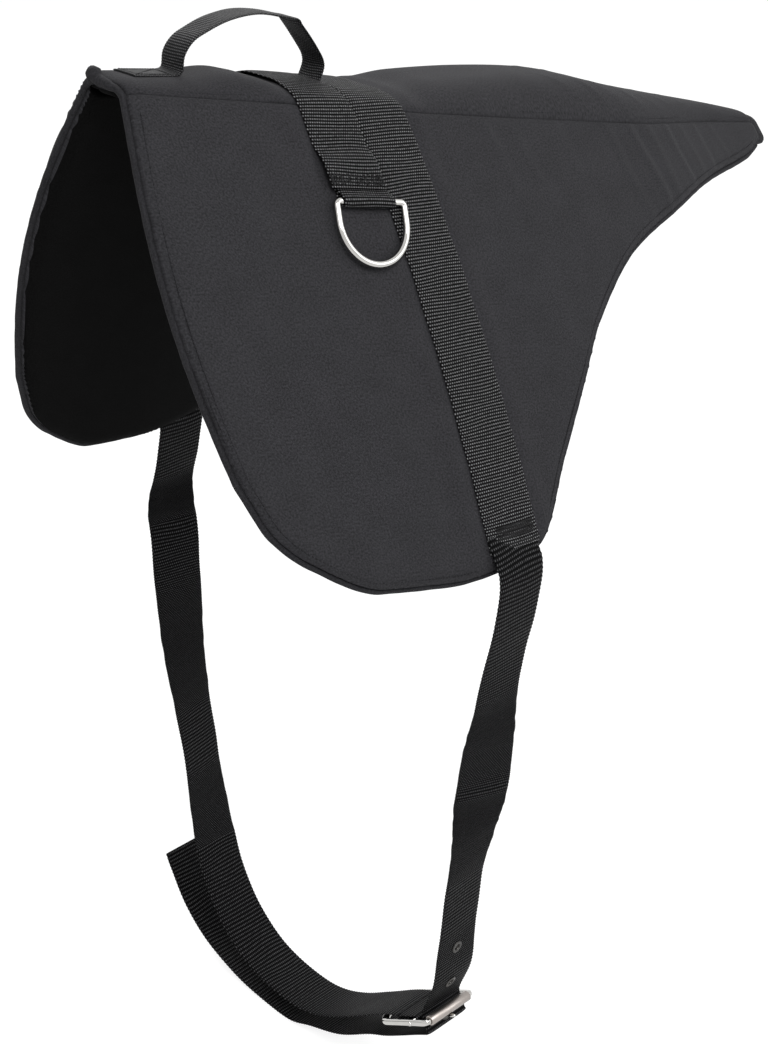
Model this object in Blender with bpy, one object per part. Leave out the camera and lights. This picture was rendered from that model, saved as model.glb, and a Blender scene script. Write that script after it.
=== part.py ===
"""Bareback pad for a horse, with a gullet handle, two rings and a buckled girth.

Metres, +Z up, +X towards the tail of the horse, -Y towards its near (left) side.
X is zero at the middle of the crossing webs. Seams, webs and pads all follow one surface:
a crowned seat between two seams, and a flap that leans outward and curls in below each seam.
"""

import math

import bmesh
import bpy
import numpy as np

# Pad outline
SPINE_LENGTH = 0.751
FRONT_REACH = 0.190
FLAP_DEPTH = 0.379
FRONT_BOW = 0.020
SEAT_HALF = 0.058
SEAT_CROWN = 0.032
CROWN_POWER = 4
SEAM_HEIGHT = 0.005
SPINE_FALL_SHARE = 0.235
FLAP_LEAN = math.radians(31.6)
FLAP_LEAN_GAIN = math.radians(11.5)
FLAP_CURL = math.radians(13.0)

# Padding and cloth
PAD_THICKNESS = 0.016
SEAM_THICKNESS = 0.0045
EDGE_ROUNDING = 0.014
COVER_THICKNESS = 0.001
SEAM_BLEND = 0.022
ROLL_RADIUS = 0.0024
TAIL_CAP_LENGTH = 0.014
TAIL_CAP_THICKNESS = 0.007
GAP = 0.0003

# Webbing
WEB_THICKNESS = 0.002
FRONT_WEB_WIDTH = 0.050
GIRTH_WEB_WIDTH = 0.050
STRAP_WIDTH = 0.050
HANDLE_WIDTH = 0.025
FRONT_WEB_END = 0.067
GIRTH_WEB_MARGIN = 0.027
GIRTH_WEB_SLANT = 0.008
WEB_TURN = 0.014
WEB_END_LIFT_RUN = 0.016

# Ring and its chape
RING_WIRE_RADIUS = 0.0028
RING_INNER_WIDTH = 0.058
RING_DEPTH = 0.048
RING_SIDE = 0.015
RING_CORNER = 0.0035
RING_SHIFT = 0.004
CHAPE_WIDTH = 0.045
CHAPE_SHIFT = 0.0018
CHAPE_SHOWN = 0.015
CHAPE_HIDDEN = 0.020

# Handle
HANDLE_FRONT = -0.132
HANDLE_HEIGHT = 0.049
HANDLE_FOOT = 0.042
HANDLE_STUB = 0.0145
HANDLE_LEG = 0.0205
HANDLE_LAP_START = 0.009
HANDLE_PIVOT = 0.012
HANDLE_LEAN = math.radians(-6)

# Girth loop
ROOT_DROP = 0.012
ROOT_LAP = 0.006
STRAP_LAP = 0.005
STRAP_FLAT = 0.0185
STRAP_TWIST = math.radians(22)
GIRTH_SPAN = 0.210
GIRTH_DROP = 0.580

# Buckle, measured from its centre bar
BUCKLE_TILT = math.radians(31)
BAR_RADIUS = 0.002
ROLLER_REACH = 0.021
ROLLER_RADIUS = 0.0048
ROLLER_WALL = 0.0018
ROLLER_LENGTH = 0.0505
BOW_REACH = 0.055
BOW_ROUND = 0.020
FRAME_WIDTH = 0.060
ARM_WIDTH = 0.006
BOW_WIDTH = 0.009
FRAME_CORNER = 0.0045
FRAME_THICKNESS = 0.005
RIVET_STAND = 0.001
TONGUE_RADIUS = 0.002
TONGUE_TIP = 0.005
TONGUE_CURL_START = math.radians(-20)
STRAP_CROSSING = 0.0105

# Eyelets
EYELET_COUNT = 3
EYELET_SPACING = 0.046
EYELET_BORE = 0.0032
EYELET_WALL = 0.0006
EYELET_FLANGE = 0.0022
EYELET_LIP = 0.0006

# Shares of the spine's length, from its front end
WIDTH_PLACE_SHARES = (0.0, 0.093, 0.186, 0.32, 0.493, 0.679, 0.892, 1.0)
CROWN_PLACE_SHARES = (0.0, 0.085, 0.137, 0.186, 0.321, 0.403, 0.506, 0.608, 0.762, 0.895, 1.0)
EDGE_PLACE_SHARES = (0.0, 0.021, 0.052, 0.122, 0.205, 0.253, 0.324,
                     0.386, 0.446, 0.502, 0.616, 0.771, 0.952, 1.0)
# Shares of the seat's half width and crown, and of the flap's depth, at those places
HALF_WIDTH_SHARES = (0.48, 0.62, 0.72, 0.90, 1.0, 1.0, 0.50, 0.34)
CROWN_SHARES = (0.25, 0.34, 0.50, 0.33, 0.33, 0.69, 0.91, 1.0, 0.63, 0.44, 0.20)
EDGE_DEPTH_SHARES = (0.755, 0.865, 0.927, 0.995, 1.0, 0.987, 0.935,
                     0.76, 0.60, 0.463, 0.287, 0.167, 0.085, 0.045)
# Where grid lines lie, as shares of the stretch that they divide
FRONT_COLUMN_SHARES = (0.0, 0.03, 0.10, 0.28, 0.50, 0.75)
REAR_COLUMN_SHARES = (0.10, 0.20, 0.32, 0.45, 0.60, 0.76, 0.90, 0.97, 1.0)
FLAP_ROW_SHARES = (0.0, 0.012, 0.035, 0.2, 0.4, 0.6, 0.8, 0.955, 0.985, 1.0)
SEAT_ROW_SHARES = (-1.0, -0.92, -0.75, -0.4, 0.0, 0.4, 0.75, 0.92, 1.0)
# Where the front edge bows most, how wide its rolled hem is, and a web's bend over the seam
BOW_PLACE_SHARE = 0.9
FRONT_ROLL_SHARE = 0.85
WEB_BEND_SHARES = (0.25, 0.5, 0.75)
# Step for measuring slopes, as a share of the padding
SLOPE_STEP_SHARE = 0.05
# How far a girth strap's end has come down when it stands straight, as a share of its drop
ROOT_BEND_SHARE = 0.45
# The buckle's bar and the strap routes: shares of the girth's half span and of its drop
BUCKLE_PLACE_SHARES = (-0.598, 0.849)
LEFT_ROUTE_SHARES = (
    (0.99, 0.065),
    (0.943, 0.137),
    (0.905, 0.215),
    (0.871, 0.300),
    (0.843, 0.382),
    (0.805, 0.474),
    (0.757, 0.567),
    (0.729, 0.660),
    (0.700, 0.755),
)
RIGHT_ROUTE_SHARES = (
    (1.055, 0.065),
    (1.12, 0.145),
    (1.11, 0.23),
    (1.10, 0.34),
    (1.085, 0.44),
    (1.05, 0.525),
    (1.01, 0.605),
    (0.975, 0.695),
    (0.935, 0.78),
    (0.865, 0.868),
    (0.73, 0.945),
    (0.53, 0.993),
    (0.32, 1.008),
    (0.13, 1.0),
    (-0.06, 0.968),
)
TAIL_ROUTE_SHARES = (
    (-0.298, 0.949),
    (-0.098, 0.996),
    (0.112, 1.027),
    (0.272, 1.048),
    (0.492, 1.046),
    (0.687, 1.032),
    (0.878, 1.005),
    (1.032, 0.954),
    (1.135, 0.894),
    (1.167, 0.869),
)
# Where the hanging straps twist, as shares of the girth's drop, and how far, as shares of the twist
TWIST_PLACE_SHARES = (0.0, 0.10, 0.20, 0.30, 0.38, 0.47, 0.56, 0.65, 0.74, 0.81)
LEFT_TWIST_SHARES = (0.0, 0.0, 0.09, 0.77, 1.0, 0.27, -0.12, -0.12, 0.0, 0.0)
RIGHT_TWIST_SHARES = (0.0, 0.0, 0.59, 0.50, 0.27, -0.14, -0.45, -0.50, -0.23, 0.0)
# Where the billet enters and leaves the buckle, past the tongue: shares of two webs' thickness
# and of the flat that an eyelet needs
BILLET_ENTRY_SHARES = ((1.5, -2.3), (0.333, -1.4), (0.0, -1.0))
BILLET_EXIT_SHARE = 0.333
# Steps of the tongue's straight part, as shares of its reach to the roller
TONGUE_STEP_SHARES = (0.35, 0.7, 1.0)
# How far the tongue's slot runs towards the roller, as a share of its height
SLOT_END_SHARE = 1.4
# A rivet's flat end as a share of the bar's radius
RIVET_FACE_SHARE = 0.7
# Handle arch: shares of its length and of its height over the seat
HANDLE_SHARES = (
    (0.035, 0.50),
    (0.10, 0.645),
    (0.252, 0.87),
    (0.460, 1.0),
    (0.700, 0.97),
    (0.795, 0.83),
    (0.885, 0.61),
    (0.962, 0.50),
)

TUBE_SIDES = 8
FRAME_SIDES = 12
EYELET_SIDES = 16
ROUND_SIDES = 24
CURVE_STEPS = 4
SHARP_ANGLE = math.radians(40)

FRONT = -FRONT_REACH
GIRTH_WEB_END = FLAP_DEPTH - GIRTH_WEB_MARGIN
TAIL = SPINE_LENGTH - FRONT_REACH
WEB_FRONT = -FRONT_WEB_WIDTH
WEB_REAR = GIRTH_WEB_WIDTH
STRAP_MIDDLE = GIRTH_WEB_WIDTH / 2
STRAP_FRONT = STRAP_MIDDLE - STRAP_WIDTH / 2
STRAP_REAR = STRAP_MIDDLE + STRAP_WIDTH / 2
CHAPE_MIDDLE = CHAPE_SHIFT - FRONT_WEB_WIDTH / 2
RING_MIDDLE = CHAPE_MIDDLE + RING_SHIFT
WEB_SLIT = WEB_THICKNESS / 2 + 2 * GAP
HALF_WEB = WEB_THICKNESS / 2
SPINE_ANGLE = math.atan(SPINE_FALL_SHARE)
SPINE_DIRECTION = np.array([math.cos(SPINE_ANGLE), 0.0, -math.sin(SPINE_ANGLE)])
LEFT = -1
RIGHT = 1


# Curves and meshes

def smooth_value(places, values, x):
    """A smooth curve through the values, which never swings past them."""
    places = np.asarray(places, float)
    values = np.asarray(values, float)
    steps = np.diff(places)
    slopes = np.diff(values) / steps
    product = slopes[:-1] * slopes[1:]
    total = np.where(product > 0, slopes[:-1] + slopes[1:], 1.0)
    inner = np.where(product > 0, 2 * product / total, 0.0)
    tangents = np.concatenate([slopes[:1], inner, slopes[-1:]])
    index = np.clip(np.searchsorted(places, x) - 1, 0, len(steps) - 1)
    step = steps[index]
    u = (np.asarray(x, float) - places[index]) / step
    start, end = values[index], values[index + 1]
    bend = 3 * (end - start) - step * (2 * tangents[index] + tangents[index + 1])
    twist = 2 * (start - end) + step * (tangents[index] + tangents[index + 1])
    return start + u * (step * tangents[index] + u * (bend + u * twist))


def smooth_path(points, steps):
    """Points along a smooth curve through the given ones, with equal steps between each pair."""
    points = np.asarray(points, float)
    before = np.vstack([2 * points[0] - points[1], points, 2 * points[-1] - points[-2]])
    path = []
    for k in range(1, len(before) - 2):
        p0, p1, p2, p3 = before[k - 1:k + 3]
        for u in np.arange(steps) / steps:
            path.append(p1 + u / 2 * (p2 - p0 + u * (2 * p0 - 5 * p1 + 4 * p2 - p3
                                                     + u * (3 * (p1 - p2) + p3 - p0))))
    path.append(points[-1])
    return np.array(path)


def unit(vectors):
    """The same directions, with length one."""
    return vectors / np.linalg.norm(vectors, axis=-1, keepdims=True)


def add_object(name, vertices, faces, material, smooth=False):
    """One closed mesh as an object, with its faces turned outward."""
    mesh = bpy.data.meshes.new(name)
    shape = bmesh.new()
    corners = [shape.verts.new(vertex) for vertex in np.asarray(vertices, float)]
    for face in faces:
        shape.faces.new([corners[k] for k in face])
    bmesh.ops.recalc_face_normals(shape, faces=shape.faces)
    shape.to_mesh(mesh)
    shape.free()
    mesh.materials.append(material)
    if smooth:
        mesh.shade_smooth()
        mesh.set_sharp_from_angle(angle=SHARP_ANGLE)
    item = bpy.data.objects.new(name, mesh)
    bpy.context.collection.objects.link(item)
    return item


def slab(name, upper, lower, material):
    """A closed sheet between two grids of points."""
    rows, columns = upper.shape[:2]
    count = rows * columns
    faces = []
    for i in range(rows - 1):
        for j in range(columns - 1):
            a = i * columns + j
            for corner in ((a, a + 1, a + columns + 1), (a, a + columns + 1, a + columns)):
                faces.append(corner)
                faces.append(tuple(count + k for k in reversed(corner)))
    top = list(range(columns))
    right = [i * columns + columns - 1 for i in range(1, rows)]
    bottom = [(rows - 1) * columns + j for j in range(columns - 2, -1, -1)]
    left = [i * columns for i in range(rows - 2, 0, -1)]
    rim = top + right + bottom + left
    for a, b in zip(rim, rim[1:] + rim[:1]):
        faces.append((b, a, a + count, b + count))
    vertices = np.concatenate([upper.reshape(-1, 3), lower.reshape(-1, 3)])
    return add_object(name, vertices, faces, material, smooth=True)


def sweep(name, rings, material, closed=False, smooth=True):
    """A solid through rings of points, capped at its ends unless it closes on itself."""
    count, sides = rings.shape[:2]
    faces = []
    for i in range(count if closed else count - 1):
        following = (i + 1) % count
        for k in range(sides):
            turn = (k + 1) % sides
            faces.append((i * sides + k, i * sides + turn,
                          following * sides + turn, following * sides + k))
    if not closed:
        faces.append(tuple(range(sides)))
        faces.append(tuple((count - 1) * sides + k for k in range(sides)))
    return add_object(name, rings.reshape(-1, 3), faces, material, smooth)


def tube(name, centres, normals, radius, material, closed=False):
    """A round wire along a path, whose normals set where its rings start."""
    tangents = unit(np.gradient(centres, axis=0))
    if closed:
        tangents = unit(np.roll(centres, -1, axis=0) - np.roll(centres, 1, axis=0))
    across = unit(np.cross(tangents, normals))
    upward = np.cross(across, tangents)
    angles = np.arange(TUBE_SIDES) * 2 * math.pi / TUBE_SIDES
    rings = (centres[:, None] + radius * (np.cos(angles)[None, :, None] * across[:, None]
                                          + np.sin(angles)[None, :, None] * upward[:, None]))
    return sweep(name, rings, material, closed)


def ribbon(name, centres, across, width, thickness, material):
    """Flat webbing along a path, with its width along the given direction."""
    tangents = unit(np.gradient(centres, axis=0))
    across = np.broadcast_to(across, centres.shape)
    normals = unit(np.cross(tangents, across))
    half, rise = across * width / 2, normals * thickness / 2
    rings = np.stack([centres - half - rise, centres + half - rise,
                      centres + half + rise, centres - half + rise], axis=1)
    return sweep(name, rings, material, smooth=False)


def cut(target, cutters):
    """Cuts other shapes out of an object, and keeps them only as hidden guides."""
    for cutter in cutters:
        cutter.hide_render = True
        cutter.display_type = 'WIRE'
        modifier = target.modifiers.new(cutter.name, 'BOOLEAN')
        modifier.operation = 'DIFFERENCE'
        modifier.solver = 'EXACT'
        modifier.object = cutter


# The pad's surface

def spine_places(shares):
    """Places along the spine from shares of its length."""
    return FRONT + SPINE_LENGTH * np.asarray(shares)


def seam_half(x):
    """Half the width between the two seams."""
    return smooth_value(spine_places(WIDTH_PLACE_SHARES), SEAT_HALF * np.asarray(HALF_WIDTH_SHARES), x)


def crown(x):
    """Height of the seat's ridge over the seams."""
    return smooth_value(spine_places(CROWN_PLACE_SHARES), SEAT_CROWN * np.asarray(CROWN_SHARES), x)


def seam_level(x):
    """Height of the seams, which fall evenly to the tail."""
    return SEAM_HEIGHT - SPINE_FALL_SHARE * np.asarray(x, float)


def flap_edge(x):
    """Depth of a flap's lower edge under the seam."""
    return smooth_value(spine_places(EDGE_PLACE_SHARES), FLAP_DEPTH * np.asarray(EDGE_DEPTH_SHARES), x)


def flap_point(side, x, depth):
    """A point of a flap's outer surface at a place along the spine and a depth under the seam."""
    x, depth = np.broadcast_arrays(np.asarray(x, float), np.asarray(depth, float))
    lean = FLAP_LEAN + FLAP_LEAN_GAIN * x / SPINE_LENGTH
    curl = FLAP_CURL / FLAP_DEPTH
    outward = (np.cos(lean - curl * depth) - np.cos(lean)) / curl
    downward = (np.sin(lean) - np.sin(lean - curl * depth)) / curl
    return np.stack([x, side * (seam_half(x) + outward), seam_level(x) - downward], axis=-1)


def seat_point(x, across):
    """A point of the seat's outer surface, where across runs from -1 to 1 between the seams."""
    x, across = np.broadcast_arrays(np.asarray(x, float), np.asarray(across, float))
    height = seam_level(x) + crown(x) * (1 - np.abs(across) ** CROWN_POWER)
    return np.stack([x, across * seam_half(x), height], axis=-1)


def normal_of(surface, x, value, size):
    """The upward or outward normal of a surface, from points one small step apart."""
    step = PAD_THICKNESS * SLOPE_STEP_SHARE
    along = surface(x + step, value) - surface(x - step, value)
    over = surface(x, value + step / size) - surface(x, value - step / size)
    normal = unit(np.cross(along, over))
    return normal * np.sign(normal[..., 2:])


def flap_normal(side, x, depth):
    """Outward normal of a flap."""
    places, depths = np.asarray(x, float), np.asarray(depth, float)
    return normal_of(lambda a, b: flap_point(side, a, b), places, depths, 1.0)


def seat_normal(x, across):
    """Upward normal of the seat."""
    return normal_of(seat_point, np.asarray(x, float), np.asarray(across, float), SEAT_HALF)


def seam_normal(side, x):
    """The direction halfway between the seat's and the flap's normals at their seam."""
    return unit(flap_normal(side, x, np.zeros_like(x)) + seat_normal(x, side * np.ones_like(x)))


def blend_to_seam(normals, side, x, distance):
    """Normals turned to the seam's own within a short distance of it, so that pads meet in a mitre."""
    share = np.clip(1 - distance / SEAM_BLEND, 0, 1)[..., None]
    return unit(share * seam_normal(side, x) + (1 - share) * normals)


def bowed(x, share):
    """Places moved forward to the bowed front edge of a flap."""
    fade = np.clip(1 - (x - FRONT) / (WEB_FRONT - FRONT), 0, 1) ** 2
    return x - FRONT_BOW * np.sin(BOW_PLACE_SHARE * math.pi * share) * fade


def pad_columns():
    """Grid lines along the spine, with one at each edge of the webs."""
    front = FRONT + (WEB_FRONT - FRONT) * np.array(FRONT_COLUMN_SHARES)
    rear = WEB_REAR + (TAIL - WEB_REAR) * np.array(REAR_COLUMN_SHARES)
    return np.concatenate([front, [WEB_FRONT, 0.0, WEB_REAR], rear])


def flap_outline(steps):
    """The free edge of a flap as place and depth, from the front seam end to the tail."""
    share = np.linspace(0, 1, steps)
    front = np.stack([bowed(FRONT, share), share * flap_edge(FRONT)], axis=-1)
    before = np.linspace(FRONT, WEB_FRONT, steps)
    places = np.concatenate([before, np.linspace(WEB_FRONT, TAIL, 2 * steps)[1:]])
    lower = np.stack([bowed(places, np.ones_like(places)), flap_edge(places)], axis=-1)
    return np.concatenate([front, lower[1:]])


def pinched(distance):
    """Share of the padding's full thickness at a distance from a seam or edge."""
    inward = np.clip(distance / EDGE_ROUNDING, 0, 1)
    return np.sqrt(1 - (1 - inward) ** 2)


def flap_edge_distance(x, depth):
    """Distance of places on a flap from its edges and its seam."""
    tail_edge = np.stack([np.full(6, TAIL), np.linspace(0, flap_edge(TAIL), 6)], axis=-1)
    edges = np.concatenate([flap_outline(60), tail_edge])
    offsets = np.stack([x, depth], axis=-1)[..., None, :] - edges
    return np.minimum(np.linalg.norm(offsets, axis=-1).min(axis=-1), depth)


def layers(prefix, points, normals, distance, cloth, foam):
    """Cover, foam and lining, one inside the other, that thin out together at the edges."""
    thickness = SEAM_THICKNESS + (PAD_THICKNESS - SEAM_THICKNESS) * pinched(distance)
    outer = -(PAD_THICKNESS - thickness) / 2
    inner = -(PAD_THICKNESS + thickness) / 2
    faces = (
        ('cover', outer, outer - COVER_THICKNESS, cloth),
        ('foam', outer - COVER_THICKNESS - GAP, inner + COVER_THICKNESS + GAP, foam),
        ('lining', inner + COVER_THICKNESS, inner, cloth),
    )
    for layer, upper, lower, material in faces:
        slab(f'{prefix}_{layer}', points + upper[..., None] * normals,
             points + lower[..., None] * normals, material)


def make_flap(side, prefix, cloth, foam):
    """One side flap of the pad, padded and thinned to its edges."""
    share, x = np.meshgrid(np.array(FLAP_ROW_SHARES), pad_columns(), indexing='ij')
    depth = GAP / 2 + share * (flap_edge(x) - GAP / 2)
    x = bowed(x, share)
    normals = blend_to_seam(flap_normal(side, x, depth), side, x, depth)
    layers(prefix, flap_point(side, x, depth), normals, flap_edge_distance(x, depth), cloth, foam)


def make_seat(cloth, foam):
    """The crowned seat panel between the two seams."""
    across, x = np.meshgrid(np.array(SEAT_ROW_SHARES), pad_columns(), indexing='ij')
    across = across * (1 - GAP / 2 / seam_half(x))
    from_seam = (1 - np.abs(across)) * seam_half(x)
    normals = seat_normal(x, across)
    for side in (LEFT, RIGHT):
        near = across * side > 0
        normals = np.where(near[..., None], blend_to_seam(normals, side, x, from_seam), normals)
    distance = np.minimum(from_seam, np.minimum(x - FRONT, TAIL - x))
    layers('seat', seat_point(x, across), normals, distance, cloth, foam)


def make_edge_roll(side, name, cloth):
    """The rolled hem along a flap's free edge."""
    rows = np.array(FLAP_ROW_SHARES[:-1])
    front = np.stack([bowed(FRONT, rows), rows * flap_edge(FRONT)], axis=-1)
    places = pad_columns()
    lower = np.stack([bowed(places, 1.0), flap_edge(places)], axis=-1)
    rim = np.concatenate([front, lower])
    rim = rim[rim[:, 1] > 2 * ROLL_RADIUS]
    normals = flap_normal(side, rim[:, 0], rim[:, 1])
    middle = flap_point(side, rim[:, 0], rim[:, 1]) - normals * PAD_THICKNESS / 2
    outward = unit(np.cross(normals, unit(np.gradient(middle, axis=0)))) * side
    tube(name, middle + outward * (ROLL_RADIUS + 2 * GAP), normals, ROLL_RADIUS, cloth)


def make_front_roll(cloth):
    """The rolled hem across the gullet's front end."""
    across = np.linspace(-FRONT_ROLL_SHARE, FRONT_ROLL_SHARE, len(SEAT_ROW_SHARES))
    x = np.full_like(across, FRONT)
    normals = seat_normal(x, across)
    middle = seat_point(x, across) - normals * PAD_THICKNESS / 2
    middle[:, 0] -= ROLL_RADIUS + GAP
    tube('front_edge_roll', middle, normals, ROLL_RADIUS, cloth)


def make_tail_binding(cloth):
    """The folded cap that closes the narrow tail end."""
    rows = []
    for x in (TAIL + 4 * GAP, TAIL + TAIL_CAP_LENGTH):
        across = np.linspace(-1, 1, len(SEAT_ROW_SHARES))
        place = np.full_like(across, x)
        normals = seat_normal(place, across)
        rows.append((seat_point(place, across) - normals * PAD_THICKNESS / 2, normals))
    middle = np.stack([row[0] for row in rows])
    normals = np.stack([row[1] for row in rows])
    rise = normals * TAIL_CAP_THICKNESS / 2
    slab('tail_binding', middle + rise, middle - rise, cloth)


# Webs, rings and handle

def web_section(x, end, notch):
    """Points of the pad's surface under a web's edge, which steps aside for the handle's leg."""
    steps = max(4, int(end / FRONT_WEB_END * 4))
    top_shares = np.array(SEAT_ROW_SHARES[1:-1])

    def flap_run(side):
        return flap_point(side, x, np.linspace(end, WEB_TURN, steps))

    def turn(side):
        start = flap_point(side, x, WEB_TURN)
        finish = seat_point(x, side * top_shares[-1])
        corner = seat_point(x, side * 1.0)
        share = np.array(WEB_BEND_SHARES)[:, None]
        return (1 - share) ** 2 * start + 2 * share * (1 - share) * corner + share ** 2 * finish

    top = seat_point(x + notch * (np.abs(top_shares) * seam_half(x) < HANDLE_WIDTH), top_shares)
    return np.concatenate([flap_run(LEFT), turn(LEFT), top, turn(RIGHT)[::-1], flap_run(RIGHT)[::-1]])


def make_web(name, start, stop, end, slant, lifts, notches, material):
    """A wide web over the pad, which rises over a chape at its ends and a foot at its middle."""
    front = web_section(start, end + slant, notches[0])
    points = np.stack([front, web_section(stop, end, notches[1])], axis=1)
    along = np.gradient(points, axis=0)
    normals = unit(np.cross(points[:, 1:] - points[:, :1], along))
    normals = normals * np.sign(normals[..., 2:])
    travel = np.linalg.norm(np.diff(points[:, 0], axis=0), axis=-1)
    travel = np.concatenate([[0], np.cumsum(travel)])
    from_end = np.minimum(travel, travel[-1] - travel)
    from_middle = np.abs(travel - travel[-1] / 2)
    end_share = np.clip(1 - (from_end - CHAPE_HIDDEN) / WEB_END_LIFT_RUN, 0, 1)
    top_share = np.clip(1 - (from_middle - HANDLE_WIDTH / 2 - HALF_WEB) / WEB_END_LIFT_RUN, 0, 1)
    lift = (GAP + lifts[0] * end_share + lifts[1] * top_share)[:, None, None]
    slab(name, points + normals * (lift + WEB_THICKNESS), points + normals * lift, material)


def ring_bar():
    """Depth of the ring's bar under the seam, and its height over the flap."""
    around = RING_WIRE_RADIUS + GAP + WEB_THICKNESS
    return FRONT_WEB_END + CHAPE_SHOWN - around, around + GAP


def ring_frame(side):
    """Middle of a ring's bar, with directions along the bar, down the flap and out of it."""
    depth, lift = ring_bar()
    base = flap_point(side, RING_MIDDLE, depth)
    outward = flap_normal(side, RING_MIDDLE, depth)
    step = RING_INNER_WIDTH / 2
    ends = flap_point(side, np.array([RING_MIDDLE - step, RING_MIDDLE + step]), depth)
    along = unit(ends[1] - ends[0])
    outward = unit(outward - along * np.dot(outward, along))
    down = np.cross(along, outward)
    down = down * np.sign(-down[2])
    return base + outward * lift, along, down, outward


def make_chape(side, name, material):
    """A short doubled web under the front web's end, with the ring's bar in its fold."""
    axis, lift = ring_bar()
    turn = RING_WIRE_RADIUS + GAP + HALF_WEB
    low = lift - turn
    upper = low + WEB_THICKNESS + GAP
    shown = FRONT_WEB_END + GAP
    hidden = FRONT_WEB_END - CHAPE_HIDDEN + HALF_WEB
    reach = math.hypot(axis - shown, lift - upper)
    leave = math.pi + math.atan2(lift - upper, axis - shown) - math.acos(turn / reach)
    angles = np.linspace(-math.pi / 2, leave, 11)
    fold = [(axis + turn * math.cos(a), lift + turn * math.sin(a)) for a in angles]
    route = np.array([(hidden, low), (shown, low)] + fold + [(shown, upper), (hidden, upper)])
    depths, lifts = route[:, 0], route[:, 1]
    centres = flap_point(side, CHAPE_MIDDLE, depths)
    centres = centres + flap_normal(side, np.full_like(depths, CHAPE_MIDDLE), depths) * lifts[:, None]
    along = ring_frame(side)[1]
    ribbon(name, centres, along, CHAPE_WIDTH, WEB_THICKNESS, material)


def make_ring(side, name, material):
    """A D-shaped ring of round wire: a straight bar, two short sides and a half-round bow."""
    origin, along, down, outward = ring_frame(side)
    half = RING_INNER_WIDTH / 2 + RING_WIRE_RADIUS
    corner = RING_CORNER
    bend = np.radians(np.linspace(0, 90, 4))
    points = [(u * (half - corner), 0.0) for u in (-1, -0.5, 0, 0.5, 1)]
    points += [(half - corner + corner * math.sin(a), corner - corner * math.cos(a)) for a in bend[1:]]
    bow = np.radians(np.linspace(0, 180, 17))
    points += [(half * math.cos(a), RING_SIDE + (RING_DEPTH - RING_SIDE) * math.sin(a)) for a in bow]
    points += [(-half + corner - corner * math.sin(a), corner - corner * math.cos(a))
               for a in bend[:0:-1]]
    route = np.array(points)
    centres = origin + route[:, :1] * along + route[:, 1:] * down
    tube(name, centres, np.broadcast_to(outward, centres.shape), RING_WIRE_RADIUS, material, closed=True)


def handle_base(x, lift):
    """A point over the seat's ridge, lifted square to the spine."""
    foot = seat_point(x, 0.0)
    return foot + lift * np.array([math.sin(SPINE_ANGLE), 0.0, math.cos(SPINE_ANGLE)])


def handle_rear():
    """Place of the rear leg, whose foot comes up through the slit between the webs."""
    return WEB_THICKNESS + GAP + SPINE_FALL_SHARE * (crown(HANDLE_FRONT) - crown(0.0))


def handle_line(x, lift):
    """A point over the straight line that the handle leans about, lifted square to it."""
    along = (x - HANDLE_FRONT) / math.cos(SPINE_ANGLE)
    return handle_base(HANDLE_FRONT, lift) + along * SPINE_DIRECTION


def leaned(points, lean):
    """Points turned to one side about the line through the handle's pivots."""
    start = handle_line(HANDLE_FRONT, HANDLE_PIVOT)
    arms = points - start
    along = arms @ SPINE_DIRECTION
    turned_arms = arms * math.cos(lean) + np.cross(arms, SPINE_DIRECTION) * math.sin(lean)
    return start + turned_arms + np.multiply.outer(along, SPINE_DIRECTION) * (1 - math.cos(lean))


def make_handle(material):
    """A webbing arch over the gullet, and the sewn foot that stands up inside each leg."""
    across = np.array([0.0, 1.0, 0.0])
    lift = GAP + HALF_WEB
    rear = handle_rear()
    length = rear - HANDLE_FRONT
    legs = []
    for x, inward, name in ((HANDLE_FRONT, 1, 'handle_front_foot'), (rear, -1, 'handle_rear_foot')):
        stub = x + inward * (WEB_THICKNESS + GAP)
        turn = WEB_THICKNESS
        top = handle_line(stub, HANDLE_STUB)
        bend = handle_base(stub, lift + turn)
        bend[0] = top[0] - (top[2] - bend[2]) * math.tan(SPINE_ANGLE)
        route = [handle_base(stub - HANDLE_FOOT, lift), handle_base(stub - HANDLE_FOOT / 2, lift),
                 handle_base(stub - turn, lift), handle_base(stub - turn / 3, lift + turn / 3), bend, top]
        ribbon(name, np.array(route), across, HANDLE_WIDTH, WEB_THICKNESS, material)
        legs.append([handle_line(x, HANDLE_LAP_START), handle_line(x, HANDLE_LEG)])
    arch = [handle_line(HANDLE_FRONT + length * share, HANDLE_HEIGHT * rise)
            for share, rise in HANDLE_SHARES]
    route = smooth_path([legs[0][1]] + arch + [legs[1][1]], CURVE_STEPS)
    route = np.concatenate([legs[0][:1], route, legs[1][:1]])
    side = leaned(route + across, HANDLE_LEAN) - leaned(route, HANDLE_LEAN)
    ribbon('handle_grip', leaned(route, HANDLE_LEAN), side, HANDLE_WIDTH, WEB_THICKNESS, material)


# Girth straps and buckle

def hang_plane():
    """Distance from the middle plane, and the level, where a girth strap leaves the flap's rim."""
    places = np.linspace(STRAP_FRONT, STRAP_REAR, 5)
    rim = flap_point(RIGHT, places, flap_edge(places) + 2 * ROLL_RADIUS + GAP)
    return rim[:, 1].max() + GAP, rim[:, 2].min()


def girth_pivot():
    """Distance and level of the line that the girth loop swings about."""
    span, level = hang_plane()
    return span, level - ROOT_DROP


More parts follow.
